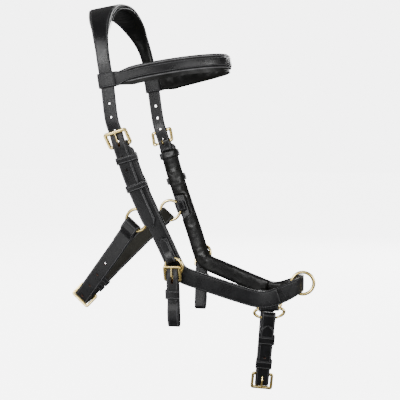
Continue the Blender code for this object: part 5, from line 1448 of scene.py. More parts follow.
@dataclass
class Browband:
    """The browband, its lining and pipings, and the loops that its ends are turned into."""

    shop: Workshop
    crown: Crown
    width: float = 13.0 * MM
    pad_above: float = 1.2 * MM
    pad_below: float = 4.4 * MM
    lean: float = 0.12
    loop_length: float = 19.0 * MM
    loop_thickness: float = 1.8 * MM
    loop_room: float = 0.8 * MM
    spread: float = 15.0 * MM
    drawing_in: float = 24.0 * MM

    def line(self, start: Array) -> Route:
        """Return the route from the right loop round the forehead: x = X cos(a), y = -Y sin(a),
        with a drop that grows as (a/90)^2.1."""
        place = LAYOUT
        angle = np.radians((74.0, 62.0, 50.0, 38.0, 26.0, 13.0, 0.0))
        reach = place.forehead_forward - place.brow_loop_forward
        fallen = (angle / (math.pi / 2)) ** 2.1
        drop = place.forehead_drop + (place.brow_loop_drop - place.forehead_drop) * fallen
        points = np.column_stack([place.brow_loop_forward + reach * np.cos(angle),
                                  -place.half_brow * np.sin(angle), -drop])
        plan = unit(np.column_stack([np.cos(angle) / reach, -np.sin(angle) / place.half_brow,
                                     np.zeros(len(angle))]))
        outward = np.column_stack([plan[:, :2], self.lean * np.cos(angle)])
        first = np.vstack([start, start + 6.0 * MM * unit((1.0, 0.0, place.upper_slope))])
        sideways = np.array([(0.0, -1.0, 0.0), (0.0, -1.0, 0.0)])
        rows = np.hstack([np.vstack([first, points]), np.vstack([sideways, outward]) * MM])
        return mirrored_route(rows, 1.0)

    def build(self) -> None:
        """Make the loops round the headpiece, the leather, the lining and the pipings."""
        crown = self.crown.route
        lower = crown.points[:len(crown.points) // 2, 2]
        where = float(crown.marks[np.argmin(np.abs(lower + LAYOUT.brow_loop_drop))])
        width, height = (size + 2.0 * self.loop_room for size in (LAYOUT.billet_width, LAYOUT.strap))
        for word, spot in (("right", where), ("left", crown.length - where)):
            self.shop.keep(keeper_shell(crown.at(spot), width, height, self.loop_length, self.loop_thickness),
                           word + "_browband_loop", LEATHER)
        self.route = self.line(crown.at(where).point(0.0, width / 2 + self.loop_thickness))
        self.build_leather()
        self.build_lining()

    def from_ends(self, places: Array, over: float) -> Array:
        """Return 0 at both ends, eased to 1 at this distance from them."""
        return eased(np.minimum(places, self.route.length - places) / over)

    def half(self, places: Array) -> Array:
        """Return the half width, which spreads to the loop's length at both ends."""
        spread = (self.loop_length - self.width) / 2
        return self.width / 2 + spread * (1.0 - self.from_ends(places, self.spread))

    def reach(self, extra: float) -> Callable[[Array], Array]:
        """Return a reach of the lining that grows from inside the loop's length to its full amount."""
        narrow = self.loop_length / 2 - 1.0 * MM
        full = self.width / 2 + 2.0 * GAP + LAYOUT.piping + extra
        return lambda places: narrow + (full - narrow) * self.from_ends(places, self.drawing_in)

    def build_leather(self) -> None:
        """Make the leather, whose ends reach into the loops, and its stitching."""
        start, stop = -self.loop_thickness / 2, self.route.length + self.loop_thickness / 2
        cut = StrapCut(self.half, LAYOUT.strap, dome=0.35 * MM)
        self.shop.keep_strap(strap_shell(self.route, self.route.stations(start, stop), cut), "browband")
        rows = Stitching().rows(self.route, start + 12.0 * MM, stop - 12.0 * MM, self.half,
                                LAYOUT.strap / 2 + 0.05 * MM, inset=1.5 * MM)
        self.shop.keep_stitches(rows, "browband")

    def build_lining(self) -> None:
        """Make the lining, and the pipings, which come out from under the leather near its ends."""
        route, place = self.route, LAYOUT
        level = -place.strap / 2 - GAP
        places = route.stations(3.0 * GAP, route.length - 3.0 * GAP, 2.0 * MM, 4.0)
        lining = pad_shell(route, places, self.reach(self.pad_below), self.reach(self.pad_above),
                           place.pad_crown, level, edge=place.pad_edge)
        self.shop.keep_pad(lining, "browband_pad")
        rows, grown = route.read(places), self.from_ends(places, self.drawing_in)
        for word, sign in (("upper", 1.0), ("lower", -1.0)):
            aside = sign * (self.half(places) + (GAP + place.piping / 2) * (2.0 * grown - 1.0))
            line = rows.point(0.0, aside[:, None], level + GAP + place.piping / 2)
            self.shop.keep(bead_shell(line, rows.out, place.piping, 0.4 + 0.6 * grown),
                           "browband_" + word + "_piping", GREY_PIPING)


@dataclass
class CheekPiece:
    """A cheek strap that runs on into the noseband, with its lining, buckle and keepers."""

    shop: Workshop
    line: CheekLine
    keeper_length: float = 9.0 * MM
    upper_keeper: float = 19.0 * MM
    lower_keeper: float = 56.0 * MM
    travel: float = 5.0 * MM

    def folded_route(self) -> Route:
        """Return the strap's whole route, from its end that is turned back under the buckle."""
        route, buckle = self.line.route, self.line.buckle
        centre = buckle.base.moved(across=LAYOUT.billet_set_back)
        bent = flat_route(centre, buckle.turned_end(LAYOUT.turn_back)[::-1], route.hand)
        body = route.marks > 1.0 * MM
        return Route(np.vstack([bent.points, route.points[body]]), np.vstack([bent.out, route.out[body]]),
                     route.hand)

    def build(self) -> None:
        """Make the strap, its stitching, its lining, its buckle and both keepers."""
        line, place, word = self.line, LAYOUT, self.line.side.word
        route, buckle = line.route, line.buckle
        top_front = buckle.width / 2 - buckle.bar / 2 - 2.0 * place.keeper_room - place.billet_set_back
        top_half = (top_front + place.cheek_width / 2) / 2
        whole = self.folded_route()
        folded = whole.length - route.length

        def half(places: Array) -> Array:
            """Return the half width, narrow past the buckle's side bar and full below it."""
            share = eased((places - folded - buckle.below) / (6.0 * MM))
            return top_half + (place.cheek_width / 2 - top_half) * share

        def shift(places: Array) -> Array:
            """Keep the rear edge straight where the front one is cut away."""
            return half(places) - place.cheek_width / 2

        cut = StrapCut(half, place.strap, dome=0.4 * MM)
        strap = strap_shell(whole, whole.stations(0.0, folded + line.lap_end), cut, shift=shift)
        self.shop.keep_strap(strap, word + "_cheek_strap", LEATHER, (buckle.slot_hole(),))
        rows = Stitching().rows(route, 16.0 * MM, line.lap_end - 3.0 * MM, place.cheek_width / 2,
                                place.strap / 2)
        self.shop.keep_stitches(rows + self.lap_cross(), word + "_cheek_strap")
        buckle.make(self.shop, word + "_cheek_buckle")
        self.build_keepers()
        self.build_lining()

    def lap_cross(self) -> list:
        """Return the stitched cross where the cheek strap laps the front of the noseband."""
        frame = self.line.route.at(self.line.low_bend + 6.0 * MM)
        corner = np.array((7.0 * MM, LAYOUT.cheek_width / 2 - 3.5 * MM))
        level = LAYOUT.strap / 2 + 0.25 * MM
        return [Stitching().line(frame, -corner * sign, corner * sign, level)
                for sign in (np.array((1.0, 1.0)), np.array((1.0, -1.0)))]

    def build_keepers(self) -> None:
        """Make the fixed upper keeper and the lower one, which slides."""
        line, place = self.line, LAYOUT
        width = place.cheek_width / 2 + place.billet_set_back + place.billet_width / 2
        middle = -(place.billet_set_back + place.billet_width / 2 - place.cheek_width / 2) / 2
        for word, below in (("_upper_keeper", self.upper_keeper), ("_lower_keeper", self.lower_keeper)):
            frame = line.route.at(below).moved(across=middle, out=line.buckle.over_heel / 2)
            line.buckle.make_keeper(self.shop, line.side.word + word, frame, width, self.keeper_length)

    def build_lining(self) -> None:
        """Make the lining, set back under the keepers and cut away behind the jaw ring."""
        line, place = self.line, LAYOUT
        level = -place.strap / 2 - GAP
        reach = place.cheek_width / 2 + place.pad_overhang
        groove = place.keeper + 2.0 * GAP
        notch = line.jaw_behind - line.jaw_radius - line.jaw_wire / 2 - JawRing.tab_tail - 2.0 * MM

        def under_keepers(places: Array) -> Array:
            """Return 1 where a keeper passes behind the strap, eased to 0 beside it."""
            found = np.zeros(len(places))
            for below, travel in ((self.upper_keeper, 0.0), (self.lower_keeper, self.travel)):
                off = np.abs(places - below) - (self.keeper_length / 2 + travel + 2.0 * GAP)
                found = np.maximum(found, 1.0 - eased(off / (1.2 * MM)))
            return found

        def rear(places: Array) -> Array:
            """Return the reach on the rear side, drawn in over the length of the ring."""
            off = np.abs(places - line.jaw_below_buckle) - (line.jaw_radius + 1.0 * MM)
            return reach + (notch - 0.3 * MM - reach) * (1.0 - eased(off / (4.0 * MM)))

        def depth(places: Array) -> Array:
            """Return how deep the lining's flat face lies."""
            return level - groove * under_keepers(places)

        def crown(places: Array) -> Array:
            """Return its full depth beyond that face."""
            return place.pad_crown - 0.85 * groove * under_keepers(places)

        places = line.route.stations(place.turn_back + 2.0 * GAP, line.lap_start - GAP, 1.2 * MM, 3.0)
        lining = pad_shell(line.route, places, rear, reach, crown, depth, edge=place.pad_edge - 0.6 * MM)
        self.shop.keep_pad(lining, line.side.word + "_cheek_pad")


def ring_shell(frame: Frame, radius: float, wire: float, held: float = 0.0) -> Shell:
    """Return a round ring in the plane of a frame's along and across directions.

    Args:
        frame: its middle, and its plane.
        radius: its radius to the wire's middle.
        wire: the wire's thickness, drawn fuller, above all in the ring's plane.
        held: how much slimmer it is where it is held, against the frame's along direction.
    """
    angle = np.linspace(0.0, 2.0 * math.pi, 72, endpoint=False)[:, None]
    points = frame.origin + radius * (np.cos(angle) * frame.along + np.sin(angle) * frame.across)
    share = 1.0 - held * eased((-np.cos(angle[:, 0]) - 0.35) / 0.35)
    in_plane, through = 1.40 * wire, 1.15 * wire
    return wire_shell(points, frame.out, in_plane, through, 16, taper=share)


@dataclass
class JawRing:
    """A jaw ring and the tab that holds it under the cheek strap's rear edge."""

    shop: Workshop
    line: CheekLine
    tab_width: float = 14.0 * MM
    tab_tail: float = 6.5 * MM

    def build(self) -> None:
        """Make the ring and its tab."""
        line, word = self.line, self.line.side.word
        self.shop.keep(ring_shell(line.jaw_ring, line.jaw_radius, line.jaw_wire), word + "_jaw_ring", BRASS)
        route = tab_route(line.jaw_tab, line.jaw_wire, line.tab_thickness, bow(line.jaw_radius, self.tab_width),
                          line.jaw_wire / 2 + self.tab_tail, line.tab_room)
        cut = StrapCut(self.tab_width / 2, line.tab_thickness, dome=0.0)
        self.shop.keep_whole(route, cut, word + "_jaw_ring_tab")


@dataclass
class BitRing:
    """The pointed chape on the cheek strap, its ring, and the hanger with its buckle and keeper."""

    shop: Workshop
    line: CheekLine
    chape_width: float = 13.0 * MM
    chape_length: float = 30.0 * MM
    chape_point: float = 9.0 * MM
    width: float = 15.0 * MM
    thickness: float = 2.0 * MM
    length: float = 79.0 * MM
    top: float = 1.2 * MM
    tail: float = 30.0 * MM
    keeper_below: float = 18.0 * MM
    keeper_length: float = 12.0 * MM
    buckle_bar: float = 2.4 * MM
    buckle_width: float = 18.6 * MM
    buckle_length: float = 18.0 * MM
    buckle_tilt: float = math.radians(15.0)
    round_end: float = 7.0 * MM
    ring_held: float = 0.28
    belly: float = 2.4 * MM

    def build(self) -> None:
        """Make the chape, the ring and the hanger."""
        self.build_chape()
        line = self.line
        self.shop.keep(ring_shell(line.bit_ring, line.bit_radius, line.bit_wire, self.ring_held),
                       line.side.word + "_bit_ring", BRASS)
        self.build_hanger()

    def build_chape(self) -> None:
        """Make the chape, pointed at its top and folded round the ring, with a row of stitches."""
        line = self.line
        slack = bow(line.bit_radius, self.chape_width)
        path = fold((0.0, line.chape_lift), (-1.0, 0.0), (0.0, -1.0), line.bit_wire, line.chape_thickness,
                    slack, self.chape_length, line.chape_room)
        radius = fold_radius(line.bit_wire, line.chape_thickness, line.chape_room)
        share = np.linspace(0.25, 0.9, 8)[:, None] * self.chape_length
        inner = np.hstack([-share, np.full_like(share, line.chape_lift - radius)])
        route = wrapped_route(line.route, line.chape_place, line.chape_forward, np.vstack([path, inner]))
        cut = StrapCut(self.chape_width / 2, line.chape_thickness, Tip.POINTED, self.chape_point,
                       dome=0.25 * MM)
        node = line.side.word + "_bit_ring_chape"
        self.shop.keep_whole(route, cut, node)
        rows = Stitching().rows(route, 6.0 * MM, 0.62 * self.chape_length, cut.half_on(route),
                                line.chape_thickness / 2 + 0.1 * MM, inset=1.5 * MM)
        self.shop.keep_stitches(rows, node)

    def build_hanger(self) -> None:
        """Make the hanger: a strap over the ring, down both ways, round below and up to its buckle.

        The route is a smooth curve through (down, out) places, which run from the billet's tip up the
        outer layer, over the ring, down the inner layer, round below and up to the heel bar.
        """
        line, frame, thick = self.line, self.line.hanger, self.thickness
        turn = fold_radius(line.bit_wire, thick)
        fold_centre = -self.top + thick / 2 + turn
        bar_out = turn + thick / 2 + GAP + self.buckle_bar / 2
        lift = self.buckle_length * math.sin(self.buckle_tilt) - self.buckle_bar / 2 - GAP - thick / 2
        level = bar_out - lift
        heel = self.buckle_length * math.cos(self.buckle_tilt)
        base = frame.moved(along=heel, out=level).reversed()
        buckle = Buckle(base, self.buckle_bar, self.buckle_width, self.buckle_length, self.buckle_tilt, thick)
        billet = level + buckle.over_heel
        back = level - 2.0 * buckle.below - thick - 2.0 * GAP
        bottom = (level - back) / 2 + 0.5 * MM
        low = self.length - bottom
        angle = np.linspace(0.0, math.pi, 11)
        over = np.column_stack([fold_centre - turn * np.sin(angle), turn * np.cos(angle)])
        under = np.column_stack([low + bottom * np.sin(angle), (level + back) / 2 - bottom * np.cos(angle)])
        outer = [(heel + self.tail, billet), (heel + 4.0 * MM, billet), (heel, billet),
                 (heel * 0.7, billet * 0.93), (heel * 0.4, turn + (billet - turn) * 0.35)]
        inner = [(heel * 0.45, back * 0.8), (heel * 0.8, back), (heel + 8.0 * MM, back)]
        swollen = level + self.belly
        up = [(low - 5.0 * MM, swollen), (heel + 40.0 * MM, swollen), (heel + 32.0 * MM, level + 0.6 * MM),
              (heel + 25.0 * MM, level), (heel + 3.0 * MM, level)]
        flat = np.vstack([outer, over, inner, under, up])
        flowing = smooth_line(np.hstack([flat, np.zeros((len(flat), 1))]), 8)[:, :2]
        ending = buckle.turned_end(LAYOUT.turn_back - 3.0 * MM)
        ending = np.column_stack([heel - ending[:, 0], level + ending[:, 1]])
        route = flat_route(frame, np.vstack([flowing, ending]))
        cut = StrapCut(self.width / 2, thick, Tip.ROUND, self.round_end, dome=0.15 * MM)
        word = line.side.word
        hole = [route.at(self.tail + buckle.hole_along)]
        self.shop.keep_whole(route, cut, word + "_bit_hanger", LEATHER,
                             (buckle.slot_hole(), buckle.tongue_hole(hole, 3.0 * thick)))
        buckle.make(self.shop, word + "_bit_buckle")
        keeper = frame.moved(along=heel + self.keeper_below, out=(level + billet) / 2)
        buckle.make_keeper(self.shop, word + "_bit_keeper", keeper, self.width, self.keeper_length)


@dataclass
class NosebandFront:
    """The front of the noseband, lapped under both cheek straps, its lining and its ring."""

    shop: Workshop
    right: CheekLine
    left: CheekLine
    ring_radius: float = 14.6 * MM
    ring_wire: float = 3.1 * MM
    ring_turn: float = math.radians(12.0)

    def build(self) -> None:
        """Make the leather, its stitching, the lining and the front ring."""
        right, left, place = self.right, self.left, LAYOUT
        route = Route(np.vstack([right.route.points, left.route.points[::-1][1:]]),
                      np.vstack([right.route.out, left.route.out[::-1][1:]]), 1.0)
        start, stop = right.lap_start, route.length - left.lap_start
        level = -place.strap - GAP
        half = place.cheek_width / 2
        cut = StrapCut(half, place.strap, dome=0.3 * MM)
        leather = strap_shell(route, route.stations(start, stop), cut, out=level)
        self.shop.keep_strap(leather, "noseband_front")
        rows = Stitching().rows(route, right.lap_end + 2.0 * MM, route.length - left.lap_end - 2.0 * MM, half,
                                level + place.strap / 2)
        self.shop.keep_stitches(rows, "noseband_front")
        self.build_lining(route, start, stop, level - place.strap / 2 - 1.5 * GAP)
        middle = route.at(route.length / 2).moved(out=level + 0.5 * MM)
        out = unit(middle.out * math.cos(self.ring_turn) + middle.along * math.sin(self.ring_turn))
        ring = Frame(middle.origin, out, middle.across, np.cross(out, middle.across))
        self.shop.keep(ring_shell(ring, self.ring_radius, self.ring_wire), "front_ring", BRASS)

    def build_lining(self, route: Route, start: float, stop: float, level: float) -> None:
        """Make the lining, cut away below where the chin dees' chapes are sewn in."""
        half = LAYOUT.cheek_width / 2
        reach = self.right.dee_chape_width / 2 + 3.0 * MM
        cut_away = ChinDee.chape_tail - half - 2.6 * MM
        spots = (self.right.dee_place, route.length - self.left.dee_place)

        def below(places: Array) -> Array:
            """Return the reach on the low side, drawn in over each chape."""
            off = np.min([np.abs(places - spot) for spot in spots], axis=0) - reach
            return half + (cut_away - half) * (1.0 - eased(off / (3.0 * MM)))

        lining = pad_shell(route, route.stations(start, stop, 1.6 * MM, 3.0), below, half, LAYOUT.pad_crown,
                           level, edge=LAYOUT.pad_edge - 0.4 * MM)
        self.shop.keep_pad(lining, "noseband_front_pad")


@dataclass
class ChinDee:
    """A chin dee and the chape that holds it under the noseband."""

    shop: Workshop
    line: CheekLine
    width: float = 39.0 * MM
    depth: float = 14.2 * MM
    chape_tail: float = 13.0 * MM

    def build(self, heading: Array) -> Array:
        """Make the dee, hanging along a heading, and its chape.

        Returns:
            The lowest point of its wire.
        """
        line, bar, half = self.line, self.line.dee_bar, self.width / 2
        hanging = square(heading, bar.along)
        straight = line.dee_chape_width / 2 + line.dee_wire / 2
        shoulder = 0.3 * self.depth
        angle = np.radians(np.linspace(0.0, 180.0, 13))
        bow = np.column_stack([half * np.cos(angle), shoulder + (self.depth - shoulder) * np.sin(angle)])
        lead = 0.6 * straight + 0.4 * half
        path = np.vstack([[(-straight, 0.0), (straight, 0.0), (lead, 0.15 * shoulder)], bow,
                          [(-lead, 0.15 * shoulder)]])
        looped = np.vstack([path[-2:], path, path[:3]])
        fine = smooth_line(np.hstack([looped, np.zeros((len(looped), 1))]), 6)[12:-13, :2]
        points = bar.origin + fine[:, :1] * bar.along + fine[:, 1:] * hanging
        word = line.side.word
        kept = distinct(points)
        beside = eased((np.abs(fine[kept, 0]) / half - 0.62) / 0.2)
        self.shop.keep(wire_shell(points[kept], np.cross(bar.along, hanging), line.dee_wire, line.dee_wire,
                                  taper=0.98 + 0.32 * beside), word + "_chin_dee", BRASS)
        frame = Frame(bar.origin, bar.across, bar.along, bar.out)
        route = tab_route(frame, line.dee_wire, line.dee_chape_thickness, 0.0, self.chape_tail)
        cut = StrapCut(line.dee_chape_width / 2, line.dee_chape_thickness, dome=0.0)
        self.shop.keep_whole(route, cut, word + "_chin_dee_chape")
        return bar.origin + self.depth * hanging


@dataclass(frozen=True)
class HangingWire:
    """The lowest point of a wire that a strap hangs from, and how far it rises and strays at its edges."""

    point: Array
    rise: Array
    stray: Array


@dataclass
class LowStrap:
    """A strap that hangs in a flat loop between two wires and is buckled near its lowest point.

    Its heel bar lies aside of and above the loop's bottom by shares of the bottom's turn.
    """

    shop: Workshop
    name: str
    near: HangingWire
    far: HangingWire
    lie: Array
    down: Array
    drop: float
    width: float
    wire: float
    buckle_width: float
    near_return: float
    far_return: float
    tail: float
    pitch: float
    holes: tuple
    keepers: tuple
    keeper_length: float
    thickness: float = 2.2 * MM
    bar: float = 2.6 * MM
    buckle_length: float = 18.5 * MM
    tilt: float = math.radians(10.0)
    turn: float = 6.0 * MM
    heel_aside: float = 1.1
    heel_above: float = 2.9
    turn_back: float = 8.0 * MM
    round_end: float = 7.0 * MM
    tip: float = 9.0 * MM

    def __post_init__(self) -> None:
        """Find the loop's plane: wide, from the buckle's half to the other, and down."""
        wide = np.cross(self.lie, self.down)
        self.wide = unit(wide * math.copysign(1.0, np.dot(wide, self.far.point - self.near.point)))
        self.origin = (self.near.point + self.far.point) / 2

    def flat(self, point: Array) -> Array:
        """Return a point's place in the plane, wide and down from the middle."""
        offset = point - self.origin
        return np.array((np.dot(offset, self.wide), np.dot(offset, self.down)))

    def room(self, wire: HangingWire, heading: Array) -> tuple:
        """Return the room a fold needs beside its wire, and how far it stands off along the strap."""
        room, slack = 3.0 * GAP, 2.0 * GAP
        for offset in (wire.rise, wire.stray):
            flat = (np.dot(offset, self.wide), np.dot(offset, self.down))
            room += abs(flat[0] * heading[1] - flat[1] * heading[0])
            slack += abs(float(np.dot(flat, heading)))
        return room, slack

    def build(self, buckle_side: str, other_side: str, outer_turn_back: bool, finishes: dict) -> None:
        """Make both halves, the buckle and its keepers.

        Args:
            buckle_side: the side whose half carries the buckle.
            other_side: the side whose half is the billet.
            outer_turn_back: whether the turned-back ends lie outside.
            finishes: the finish of each half by side.
        """
        near = self.flat(self.near.point)
        side = -1.0 if outer_turn_back else 1.0
        heel_flat = np.array((-self.turn * self.heel_aside, self.drop - self.turn * self.heel_above))
        heading = unit(heel_flat - near)
        room, slack = self.room(self.near, heading)
        start = near + side * fold_radius(self.wire, self.thickness, room) * quarter_turned(heading)
        heading = unit(heel_flat - start)
        to_plane = np.array([heading, quarter_turned(heading)])
        along, out = (way[0] * self.wide + way[1] * self.down for way in to_plane)
        heel_point = self.origin + heel_flat[0] * self.wide + heel_flat[1] * self.down
        self.base = Frame(heel_point, along, self.lie, out)
        self.buckle = Buckle(self.base, self.bar, self.buckle_width, self.buckle_length, self.tilt,
                             self.thickness)
        first = fold(to_plane @ (near - heel_flat), (1.0, 0.0), (0.0, side), self.wire, self.thickness, slack,
                     self.near_return, room)
        route = flat_route(self.base, np.vstack([first, self.buckle.turned_end(self.turn_back)]))
        cut = StrapCut(self.width / 2, self.thickness, Tip.ROUND, self.round_end, dome=0.2 * MM)
        self.shop.keep_whole(route, cut, self.name + "_" + buckle_side, finishes[buckle_side],
                             (self.buckle.slot_hole(),))
        self.build_billet(other_side, side, to_plane, heel_flat, finishes[other_side])
        short = self.name.replace("_strap", "")
        self.buckle.make(self.shop, short + "_buckle")
        for word, above in self.keepers:
            frame = self.base.moved(along=-above, out=self.buckle.over_heel / 2)
            self.buckle.make_keeper(self.shop, short + word, frame, self.width, self.keeper_length)

    def build_billet(self, other_side: str, side: float, to_plane: Array, heel_flat: Array,
                     finish: Finish) -> None:
        """Make the billet's half: folded over its wire, round the bottom and through the buckle.

        Args:
            other_side: the side that it is on.
            side: 1 or -1, where the strap itself lies beside its turned-back end.
            to_plane: turns (wide, down) distances into the buckle's (along, out) ones.
            heel_flat: the heel bar's place, wide and down.
            finish: its finish.
        """
        level, turn, thick = self.buckle.over_heel, self.turn, self.thickness
        centre_out = level - turn
        clear = turn + thick / 2 + GAP + self.bar / 2
        centre = np.array((self.buckle.front_along - math.sqrt(
            clear ** 2 - (self.buckle.front_out - centre_out) ** 2), centre_out))
        far = self.flat(self.far.point)
        far_place = to_plane @ (far - heel_flat)
        room, slack = self.room(self.far, unit(np.array((0.0, self.drop)) - far))
        radius = fold_radius(self.wire, thick, room)
        far_start = far_place + side * radius * self.square_to(unit(centre - far_place))
        to_far = far_start - centre
        bearing = math.atan2(to_far[0], to_far[1]) % (2.0 * math.pi)
        last = bearing - math.acos(turn / np.linalg.norm(to_far))
        angle = np.linspace(last, 0.0, 30)
        arc = centre + turn * np.column_stack([np.sin(angle), np.cos(angle)])
        heading = unit(arc[0] - far_start)
        second = fold(far_place, heading, side * self.square_to(heading), self.wire, thick, slack,
                      self.far_return, room)
        route = flat_route(self.base, np.vstack([second, arc, [(0.0, level), (-self.tail, level)]]))
        cut = StrapCut(self.width / 2, thick, Tip.ROUND, self.round_end, Tip.SPADE, self.tip, 0.2 * MM)
        tongue_hole = route.length - self.tail - self.buckle.hole_along
        spare = [route.at(tongue_hole + n * self.pitch) for n in self.holes]
        self.shop.keep_whole(route, cut, self.name + "_" + other_side, finish, (
            self.buckle.tongue_hole([route.at(tongue_hole)], 3.0 * thick),
            (spare, 3.0 * thick, 0.0, LAYOUT.hole)))
        self.stitch_return(route, other_side)

    def stitch_return(self, route: Route, other_side: str) -> None:
        """Sew the turned-back end down: two rows along it that close in towards its round end."""
        half = StrapCut(self.width / 2, self.thickness, Tip.ROUND, self.round_end).half_on(route)
        rows = Stitching().rows(route, 2.2 * MM, 0.8 * self.far_return, half, self.thickness / 2 + 0.1 * MM,
                                inset=1.7 * MM)
        self.shop.keep_stitches(rows, self.name + "_" + other_side)

    @staticmethod
    def square_to(heading: Array) -> Array:
        """Return the direction square to a heading on the plane's inner side."""
        return facing(quarter_turned(heading), 1, -1.0)


@dataclass
class JawStrap:
    """The strap between the jaw rings, buckled on the left and slanting back under the jaw."""

    shop: Workshop
    right: CheekLine
    left: CheekLine
    width: float = 21.0 * MM
    drop: float = 163.0 * MM
    back_angle: float = math.radians(41.8)

    @classmethod
    def across(cls) -> Array:
        """Return the strap's across direction: forward and down, square to its slant."""
        return np.array((math.cos(cls.back_angle), 0.0, -math.sin(cls.back_angle)))

    def build(self) -> None:
        """Hang the strap from the bottoms of both rings."""
        radius = self.right.jaw_radius
        rise = -bow(radius, self.width)
        near, far = (HangingWire(line.jaw_ring.point(radius), rise * line.jaw_ring.along, np.zeros(3))
                     for line in (self.left, self.right))
        strap = LowStrap(self.shop, "jaw_strap", near, far, self.across(), slanting_down(self.back_angle),
                         self.drop - radius, self.width, self.right.jaw_wire, buckle_width=25.0 * MM,
                         near_return=42.0 * MM, far_return=42.0 * MM, tail=52.0 * MM, pitch=24.5 * MM,
                         holes=(-4, -3, -2, -1, 1), keepers=(("_keeper", 13.5 * MM), ("_runner", 24.0 * MM)),
                         keeper_length=9.0 * MM)
        strap.build("left", "right", True, {"left": FLESHY, "right": LEATHER})


@dataclass
class ChinStrap:
    """The strap between the chin dees, buckled on the right."""

    shop: Workshop
    right: CheekLine
    left: CheekLine
    width: float = 18.0 * MM
    drop: float = 113.0 * MM
    back_angle: float = math.radians(5.0)

    @staticmethod
    def spread() -> Array:
        """Return the strap's across direction, square to the line through the two dees."""
        return unit((2.0 * LAYOUT.half_low_bend * 0.8, CheekLine.dee_skew, 0.0))

    def build(self) -> None:
        """Make the dees and hang the strap from their lowest points."""
        between = self.left.dee_bar.origin - self.right.dee_bar.origin
        middle = (self.left.dee_bar.origin + self.right.dee_bar.origin) / 2
        across = facing(unit(np.cross(between, slanting_down(self.back_angle))), 0, 1.0)
        down = facing(unit(np.cross(across, between)), 2, -1.0)
        lowest = middle + down * (self.drop - LowStrap.turn)
        wires, half = [], self.width / 2
        for line in (self.right, self.left):
            dee = ChinDee(self.shop, line)
            heading = unit(lowest - line.dee_bar.origin)
            rise = dee.depth * (1.0 - math.sqrt(1.0 - (half / (dee.width / 2)) ** 2))
            stray = half * (line.dee_bar.along - np.dot(line.dee_bar.along, across) * across)
            wires.append(HangingWire(dee.build(heading), -rise * heading, stray))
        strap = LowStrap(self.shop, "chin_strap", wires[0], wires[1], across, down, self.drop - ChinDee.depth,
                         self.width, self.right.dee_wire, buckle_width=24.0 * MM, near_return=16.0 * MM,
                         far_return=30.0 * MM, tail=78.0 * MM, pitch=16.5 * MM, holes=(1, 2, -2, -3),
                         keepers=(("_keeper", 18.5 * MM), ("_runner", 56.0 * MM)), keeper_length=12.0 * MM)
        strap.build("right", "left", False, {"left": LEATHER, "right": LEATHER})


@dataclass(frozen=True)
class Lamp:
    """A soft square light: its name, its place, its size in metres and its power in watts."""

    name: str
    spot: tuple
    size: float
    power: float

    def build(self, centre: Sequence) -> None:
        """Make the light, facing the centre."""
        light = bpy.data.lights.new(self.name, "AREA")
        light.shape, light.size, light.energy = "SQUARE", self.size, self.power
        lamp = placed(self.name, light)
        lamp.location = self.spot
        toward = Vector(centre) - Vector(self.spot)
        lamp.rotation_euler = toward.to_track_quat("-Z", "Y").to_euler()
        lamp.visible_camera = False


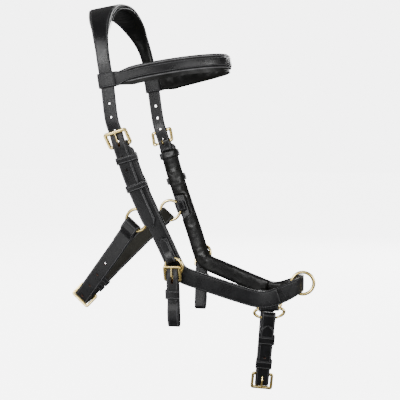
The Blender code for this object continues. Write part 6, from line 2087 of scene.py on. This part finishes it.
@dataclass
class Studio:
    """A pale floor and surround, soft lights and the camera at the photograph's angle."""

    floor_drop: float = 0.545
    floor_size: float = 14.0
    floor_colour: tuple = (0.92, 0.92, 0.92, 1.0)
    floor_unseen: tuple = (0.10, 0.10, 0.10, 1.0)
    yaw: float = math.radians(14.346)
    pitch: float = math.radians(4.157)
    lens: float = 94.6
    shift: tuple = (-0.0035, -0.0010)
    place: tuple = (0.47535, -1.36911, -0.15239)
    centre: tuple = (0.12, 0.0, -0.25)
    surround_light: float = 0.18
    surround_seen: float = 5.5
    sensor: float = 36.0
    clip: tuple = (0.05, 50.0)
    lamps: tuple = (
        Lamp("key_light", (-1.10, -2.1, 0.95), 0.9, 48.0), Lamp("fill_light", (1.9, -1.1, 0.1), 0.8, 16.0),
        Lamp("top_light", (0.3, -0.3, 1.5), 0.8, 5.0), Lamp("far_light", (0.2, 1.9, 0.5), 0.9, 24.0),
        Lamp("rear_light", (-1.7, 0.2, 0.2), 0.7, 14.0), Lamp("front_light", (0.0, -3.0, -0.45), 2.4, 72.0),
        Lamp("low_light", (-0.10, -0.26, -0.53), 0.4, 1.1), Lamp("brow_light", (2.1, 0.05, 0.0), 0.7, 16.0))

    def build(self) -> None:
        """Make the floor, the surround, the lights and the camera."""
        self.build_floor()
        self.build_surround()
        for lamp in self.lamps:
            lamp.build(self.centre)
        self.build_camera()

    def build_floor(self) -> None:
        """Make a large plain pale floor well below the bridle, which hangs above it."""
        half = self.floor_size / 2
        mesh = bpy.data.meshes.new("floor")
        corners = [(x * half, y * half, -self.floor_drop) for x, y in ((-1, -1), (1, -1), (1, 1), (-1, 1))]
        mesh.from_pydata(corners, [], [(0, 1, 2, 3)])
        floor = placed("floor", mesh)
        paint = bpy.data.materials.new("pale_floor")
        paint.use_nodes = True
        graph = Graph(paint.node_tree)
        seen = graph.add("LightPath").outputs["Is Camera Ray"]
        graph.fill(paint.node_tree.nodes["Principled BSDF"], {
            "Roughness": 0.9, "Emission Color": WHITE,
            "Emission Strength": graph.ramp(seen, 0.0, 1.0, 0.0, self.surround_seen),
            "Base Color": graph.mixed(seen, self.floor_unseen, self.floor_colour)})
        mesh.materials.append(paint)

    def build_surround(self) -> None:
        """Surround the scene with white that is seen bright and lights the bridle only softly."""
        world = bpy.data.worlds.new("surround")
        world.use_nodes = True
        graph = Graph(world.node_tree)
        seen = graph.add("LightPath").outputs["Is Camera Ray"]
        graph.fill(world.node_tree.nodes["Background"], {
            "Color": WHITE,
            "Strength": graph.ramp(seen, 0.0, 1.0, self.surround_light, self.surround_seen)})
        bpy.context.scene.world = world

    def build_camera(self) -> None:
        """Set the camera from the yaw and pitch fitted to the photograph."""
        camera = bpy.data.cameras.new("camera")
        camera.lens, camera.sensor_width = self.lens, self.sensor
        camera.shift_x, camera.shift_y = self.shift
        made = placed("camera", camera)
        sin_yaw, cos_yaw = math.sin(self.yaw), math.cos(self.yaw)
        sin_pitch, cos_pitch = math.sin(self.pitch), math.cos(self.pitch)
        ahead = Vector((-sin_yaw * cos_pitch, cos_yaw * cos_pitch, -sin_pitch))
        right = Vector((cos_yaw, sin_yaw, 0.0))
        turn = Matrix((right, right.cross(ahead), -ahead)).transposed()
        made.matrix_world = Matrix.Translation(Vector(self.place)) @ turn.to_4x4()
        camera.clip_start, camera.clip_end = self.clip
        bpy.context.scene.camera = made


def main() -> None:
    """Build the bridle's pieces in order and report each."""
    logging.basicConfig(level=logging.INFO, format="%(name)s: %(message)s")
    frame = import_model()
    shop = Workshop(frame)
    right, left = CheekLine(Side.RIGHT), CheekLine(Side.LEFT)
    crown = Crown(shop, right)
    pieces = [crown, Browband(shop, crown)]
    for line in (right, left):
        pieces += [CheekPiece(shop, line), JawRing(shop, line), BitRing(shop, line)]
    pieces += [NosebandFront(shop, right, left), JawStrap(shop, right, left), ChinStrap(shop, right, left)]
    for piece in pieces:
        piece.build()
        log.info("built %s", type(piece).__name__)
    Studio().build()


if __name__ == "__main__":
    main()
